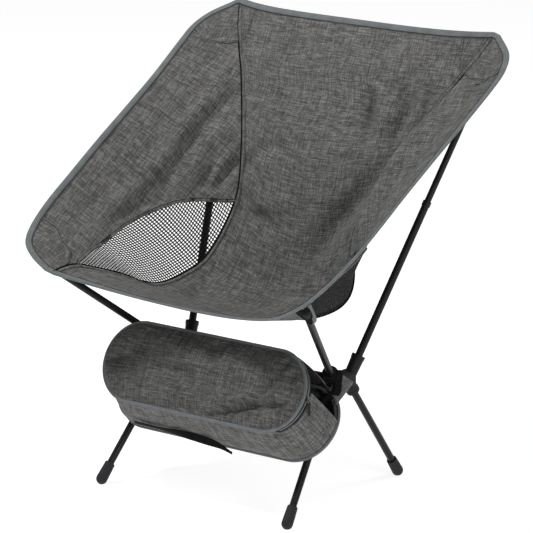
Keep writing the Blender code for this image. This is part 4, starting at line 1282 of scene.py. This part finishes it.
def make_zip_pull():
    """A slider with its bridge, and a pull tab that hangs from it."""
    low, high = (np.array(corner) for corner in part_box("zip_slider"))
    centre = (low + high) / 2
    along, out, down = (turned_by(LID_SPACE, d) for d in ((0, 1, 0), (1, 0, 0), (0, 0, -1)))
    reach = np.linspace(-0.5, 0.5, 9)
    path = centre + reach[:, None] * 0.0092 * along
    width = 0.0030 - 0.0007 * np.cos(reach * 2 * math.pi)
    for name, offset, size, node in (("top", 0.0012, 1.0, "zip_slider"), ("bottom", -0.0009, 0.94, None)):
        sweep(f"slider_plate_{name}", path + out * offset, down, out, ring(1.0, 12) * (1.0, 0.14), STEEL,
              scale=width * size, node=node, body="slider")
    arch = np.linspace(0.0, math.pi, 13)
    bridge = centre + along * (0.0030 * np.cos(arch))[:, None]
    bridge = bridge + out * (0.0012 + 0.0014 * np.sin(arch))[:, None]
    across, up = frames(bridge, down)
    sweep("slider_bridge", bridge, across, up, ring(0.00055, 8), STEEL, body="slider")
    low, high = (np.array(corner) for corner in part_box("zip_pull"))
    x, y, top = (low[0] + high[0]) / 2, (low[1] + high[1]) / 2, high[2]
    turn = np.linspace(0.0, 2 * math.pi, 25)[:-1]
    ring_path = np.stack([np.full(24, x), y + 0.0021 * np.sin(turn), top - 0.0034 + 0.0028 * np.cos(turn)], 1)
    across, up = frames(ring_path, (1.0, 0.0, 0.0), closed=True)
    sweep("pull_ring", ring_path, across, up, ring(0.0005, 8), STEEL, closed=True, body="pull")
    drop = np.linspace(0.0, 1.0, 14)
    tab_path = np.stack([x + 0.0002 * np.sin(drop * 3.0), np.full(14, y), top - 0.0046 - drop * 0.0195], 1)
    width = 0.0016 + 0.0010 * np.sin(math.pi * np.clip(drop * 0.85 + 0.12, 0, 1)) ** 0.7
    sweep("pull_tab", tab_path, (0.0, 1.0, 0.0), (1.0, 0.0, 0.0), ring(1.0, 14) * (1.0, 0.34), MOULDED,
          scale=width, node="zip_pull", body="pull")


def strap(name, path, up, width, thickness, scale=1.0, node=None):
    """A flat webbing strap along a path."""
    along = tangents(path)
    up = square_to(along, up)
    w, t = width / 2, thickness / 2
    section = [(-w, 0.0), (-w * 0.96, t), (-w * 0.5, t * 1.15), (0.0, t), (w * 0.5, t * 1.15), (w * 0.96, t),
               (w, 0.0), (w * 0.96, -t), (0.0, -t), (-w * 0.96, -t)]
    sweep(name, path, np.cross(up, along), up, section, WEBBING, scale=scale, node=node)


def tie(name, centre, axis, radius, half, thick, wobble, phase, sides, node=None):
    """A turn of webbing round a tube, a little askew."""
    way = unit(np.cross(axis, (0.0, 1.0, 0.0)))
    turn = np.linspace(0.0, 2 * math.pi, sides + 1)[:-1, None]
    radial = way * np.cos(turn) + np.cross(axis, way) * np.sin(turn)
    loop = centre + radial * radius + axis * wobble * np.sin(turn + phase)
    section = [(-half, -thick - 0.0001), (-half, thick), (0.0, thick + 0.0003), (half, thick),
               (half, -thick - 0.0001)]
    sweep(name, loop, axis, radial, section, WEBBING, closed=True, node=node)


def make_straps():
    """The tail of the closing strap, and the ties from the pouch's back to the front legs and hubs."""
    foot, rear = np.array(LID_FOOT), np.array(BACK_FOOT)
    across = unit(rear - foot)
    out = np.array([0.0, across[2], -across[1]])
    knots = np.array([(-0.128, 0.0062, 0.046), (-0.085, 0.0068, 0.0465), (-0.040, 0.0070, 0.047),
                      (-0.005, 0.0085, 0.0475), (0.030, 0.0115, 0.048), (0.060, 0.0190, 0.0480)])
    line = smooth_line(knots, np.linspace(0.0, 1.0, 44))
    path = foot + np.array([1.0, 0.0, 0.0]) * line[:, :1] + out * line[:, 1:2] + across * line[:, 2:3]
    t = np.linspace(0.0, 1.0, 44)
    width = (0.50 + 0.28 * share(t, 0.15, 0.50)) * (1.0 - 0.66 * share(t, 0.66, 1.0))
    peel = share(t, 0.20, 0.55)[:, None]
    face = out * (1.0 - peel) + np.array([0.12, -0.98, 0.10]) * peel
    strap("closing_strap_tail", path, face, 0.015, 0.0018, width, "strap_tail")
    for side, tag in SIDES:
        low, high = (np.array(corner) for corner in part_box(f"pouch_strap_{tag}"))
        centre = (low + high) / 2
        _, _, axis = node_axis(f"front_leg_{tag}")
        for k, shift, node in ((0, 0.0035, f"pouch_strap_{tag}"), (1, -0.0040, None)):
            tie(f"leg_tie_{tag}_{k}", centre + axis * shift, axis, 0.0068, 0.0042, 0.0005, 0.0012, k, 40,
                node)
        make_hub_ties(side, tag)


def on_back(mark, inset, lift):
    return outline(BACK_SPACE, BACK_HALF, np.array([mark]), inset, lift)[0]


def make_hub_ties(side, tag):
    """The webbing that ties the pouch's top corner to the hub, and the cloth gore beside it."""
    flip = np.array([side, 1.0, 1.0])
    knots = np.array([(0.1610, -0.0400, 0.2010), (0.1640, -0.0440, 0.1915), (0.1690, -0.0520, 0.1850),
                      (0.1735, -0.0600, 0.1760), placed(BACK_SPACE, (0.1660, 0.1030, 0.0050)),
                      placed(BACK_SPACE, (0.1600, 0.0900, 0.0048))])
    path = smooth_line(knots, np.linspace(0.0, 1.0, 30)) * flip
    strap(f"hub_tie_{tag}", path, np.array([0.70, -0.68, 0.22]) * flip, 0.0115, 0.0015)
    start, _, axis = node_axis(f"front_post_{tag}")
    for k, (height, reach) in enumerate(((0.004, 0.0112), (0.0135, 0.0110))):
        tie(f"hub_wrap_{tag}_{k}", start + axis * height, axis, reach, 0.0048, 0.0006, 0.0022, 1.1 * k, 48)
    top = np.linspace((0.1600, -0.0275, 0.1900), (0.1600, -0.0035, 0.1745), 9)
    foot = np.stack([on_back(mark, 0.004, 0.0045) for mark in np.linspace(15.6, 12.4, 9)])
    t = np.linspace(0.0, 1.0, 12)[:, None, None]
    grid = top[None] * (1.0 - t) + foot[None] * t
    grid = grid + np.array([0.0035, -0.0012, 0.0030]) * np.sin(math.pi * t)
    cloth_piece(f"hub_gore_{tag}", grid * flip, POUCH_CLOTH, HEATHER)


def make_pouch():
    make_panel_cloth("pouch_lid_cloth", "pouch_lid", LID_SPACE, LID_HALF, "lid", LID_HEATHER, 1.0, 0.0006,
                     swell=9.0, slack=0.05, cap=(0.0, 0.013), creases=LID_CREASES)
    make_panel_cloth("pouch_back_cloth", "pouch_back", BACK_SPACE, BACK_HALF, ROOT, LID_HEATHER, -1.0, 0.0004,
                     swell=3.0, slack=0.015, cap=(0.0, 0.006))
    edge_tape("lid_edge_tape", "lid_binding", LID_SPACE, LID_HALF, "lid", 0.0086, 0.0021, [0.0074])
    edge_tape("back_edge_tape", "back_binding", BACK_SPACE, BACK_HALF, ROOT, 0.0110, 0.0019, [0.0036, 0.0096])
    face = EDGE + 0.0004
    zip_tape("zip_tape_upper", "zip_tape_lid", "lid", face, TAPE - 0.0007)
    zip_tape("zip_tape_lower", "zip_tape_body", ROOT, face + TAPE + 0.0005, 0.0007)
    make_gusset()
    make_hook_patch()
    make_zip_pull()
    make_straps()


# ---- hard pieces that keep their CAD shape --------------------------------------------------------------
# Finishes by how a node's name begins; the first that fits is taken.
HARD_FINISHES = [(STEEL, ("hub_screw", "zip_slider")),
                 (ANODISED, ("ferrule", "front_leg", "rear_leg", "front_post", "back_post", "cross_tube")),
                 (MOULDED, ("hub", "front_tip", "back_tip", "zip_pull")),
                 (RUBBER, ("foot_cap",)),
                 (ELASTIC, ("shock_cord",))]


def finish_hard_nodes():
    for name, node in NODES.items():
        found = [material for material, starts in HARD_FINISHES if name.startswith(starts)]
        if found:
            node.data.materials.clear()
            node.data.materials.append(found[0])
            node.data.shade_smooth()
            node.data.set_sharp_from_angle(angle=math.radians(40.0))


add_camera()
add_studio()
make_sling_panels()
make_netting()
make_leaf_hems()
make_seams()
make_patches()
slump()
make_pockets()
make_sling_binding()
make_pouch()
finish_hard_nodes()
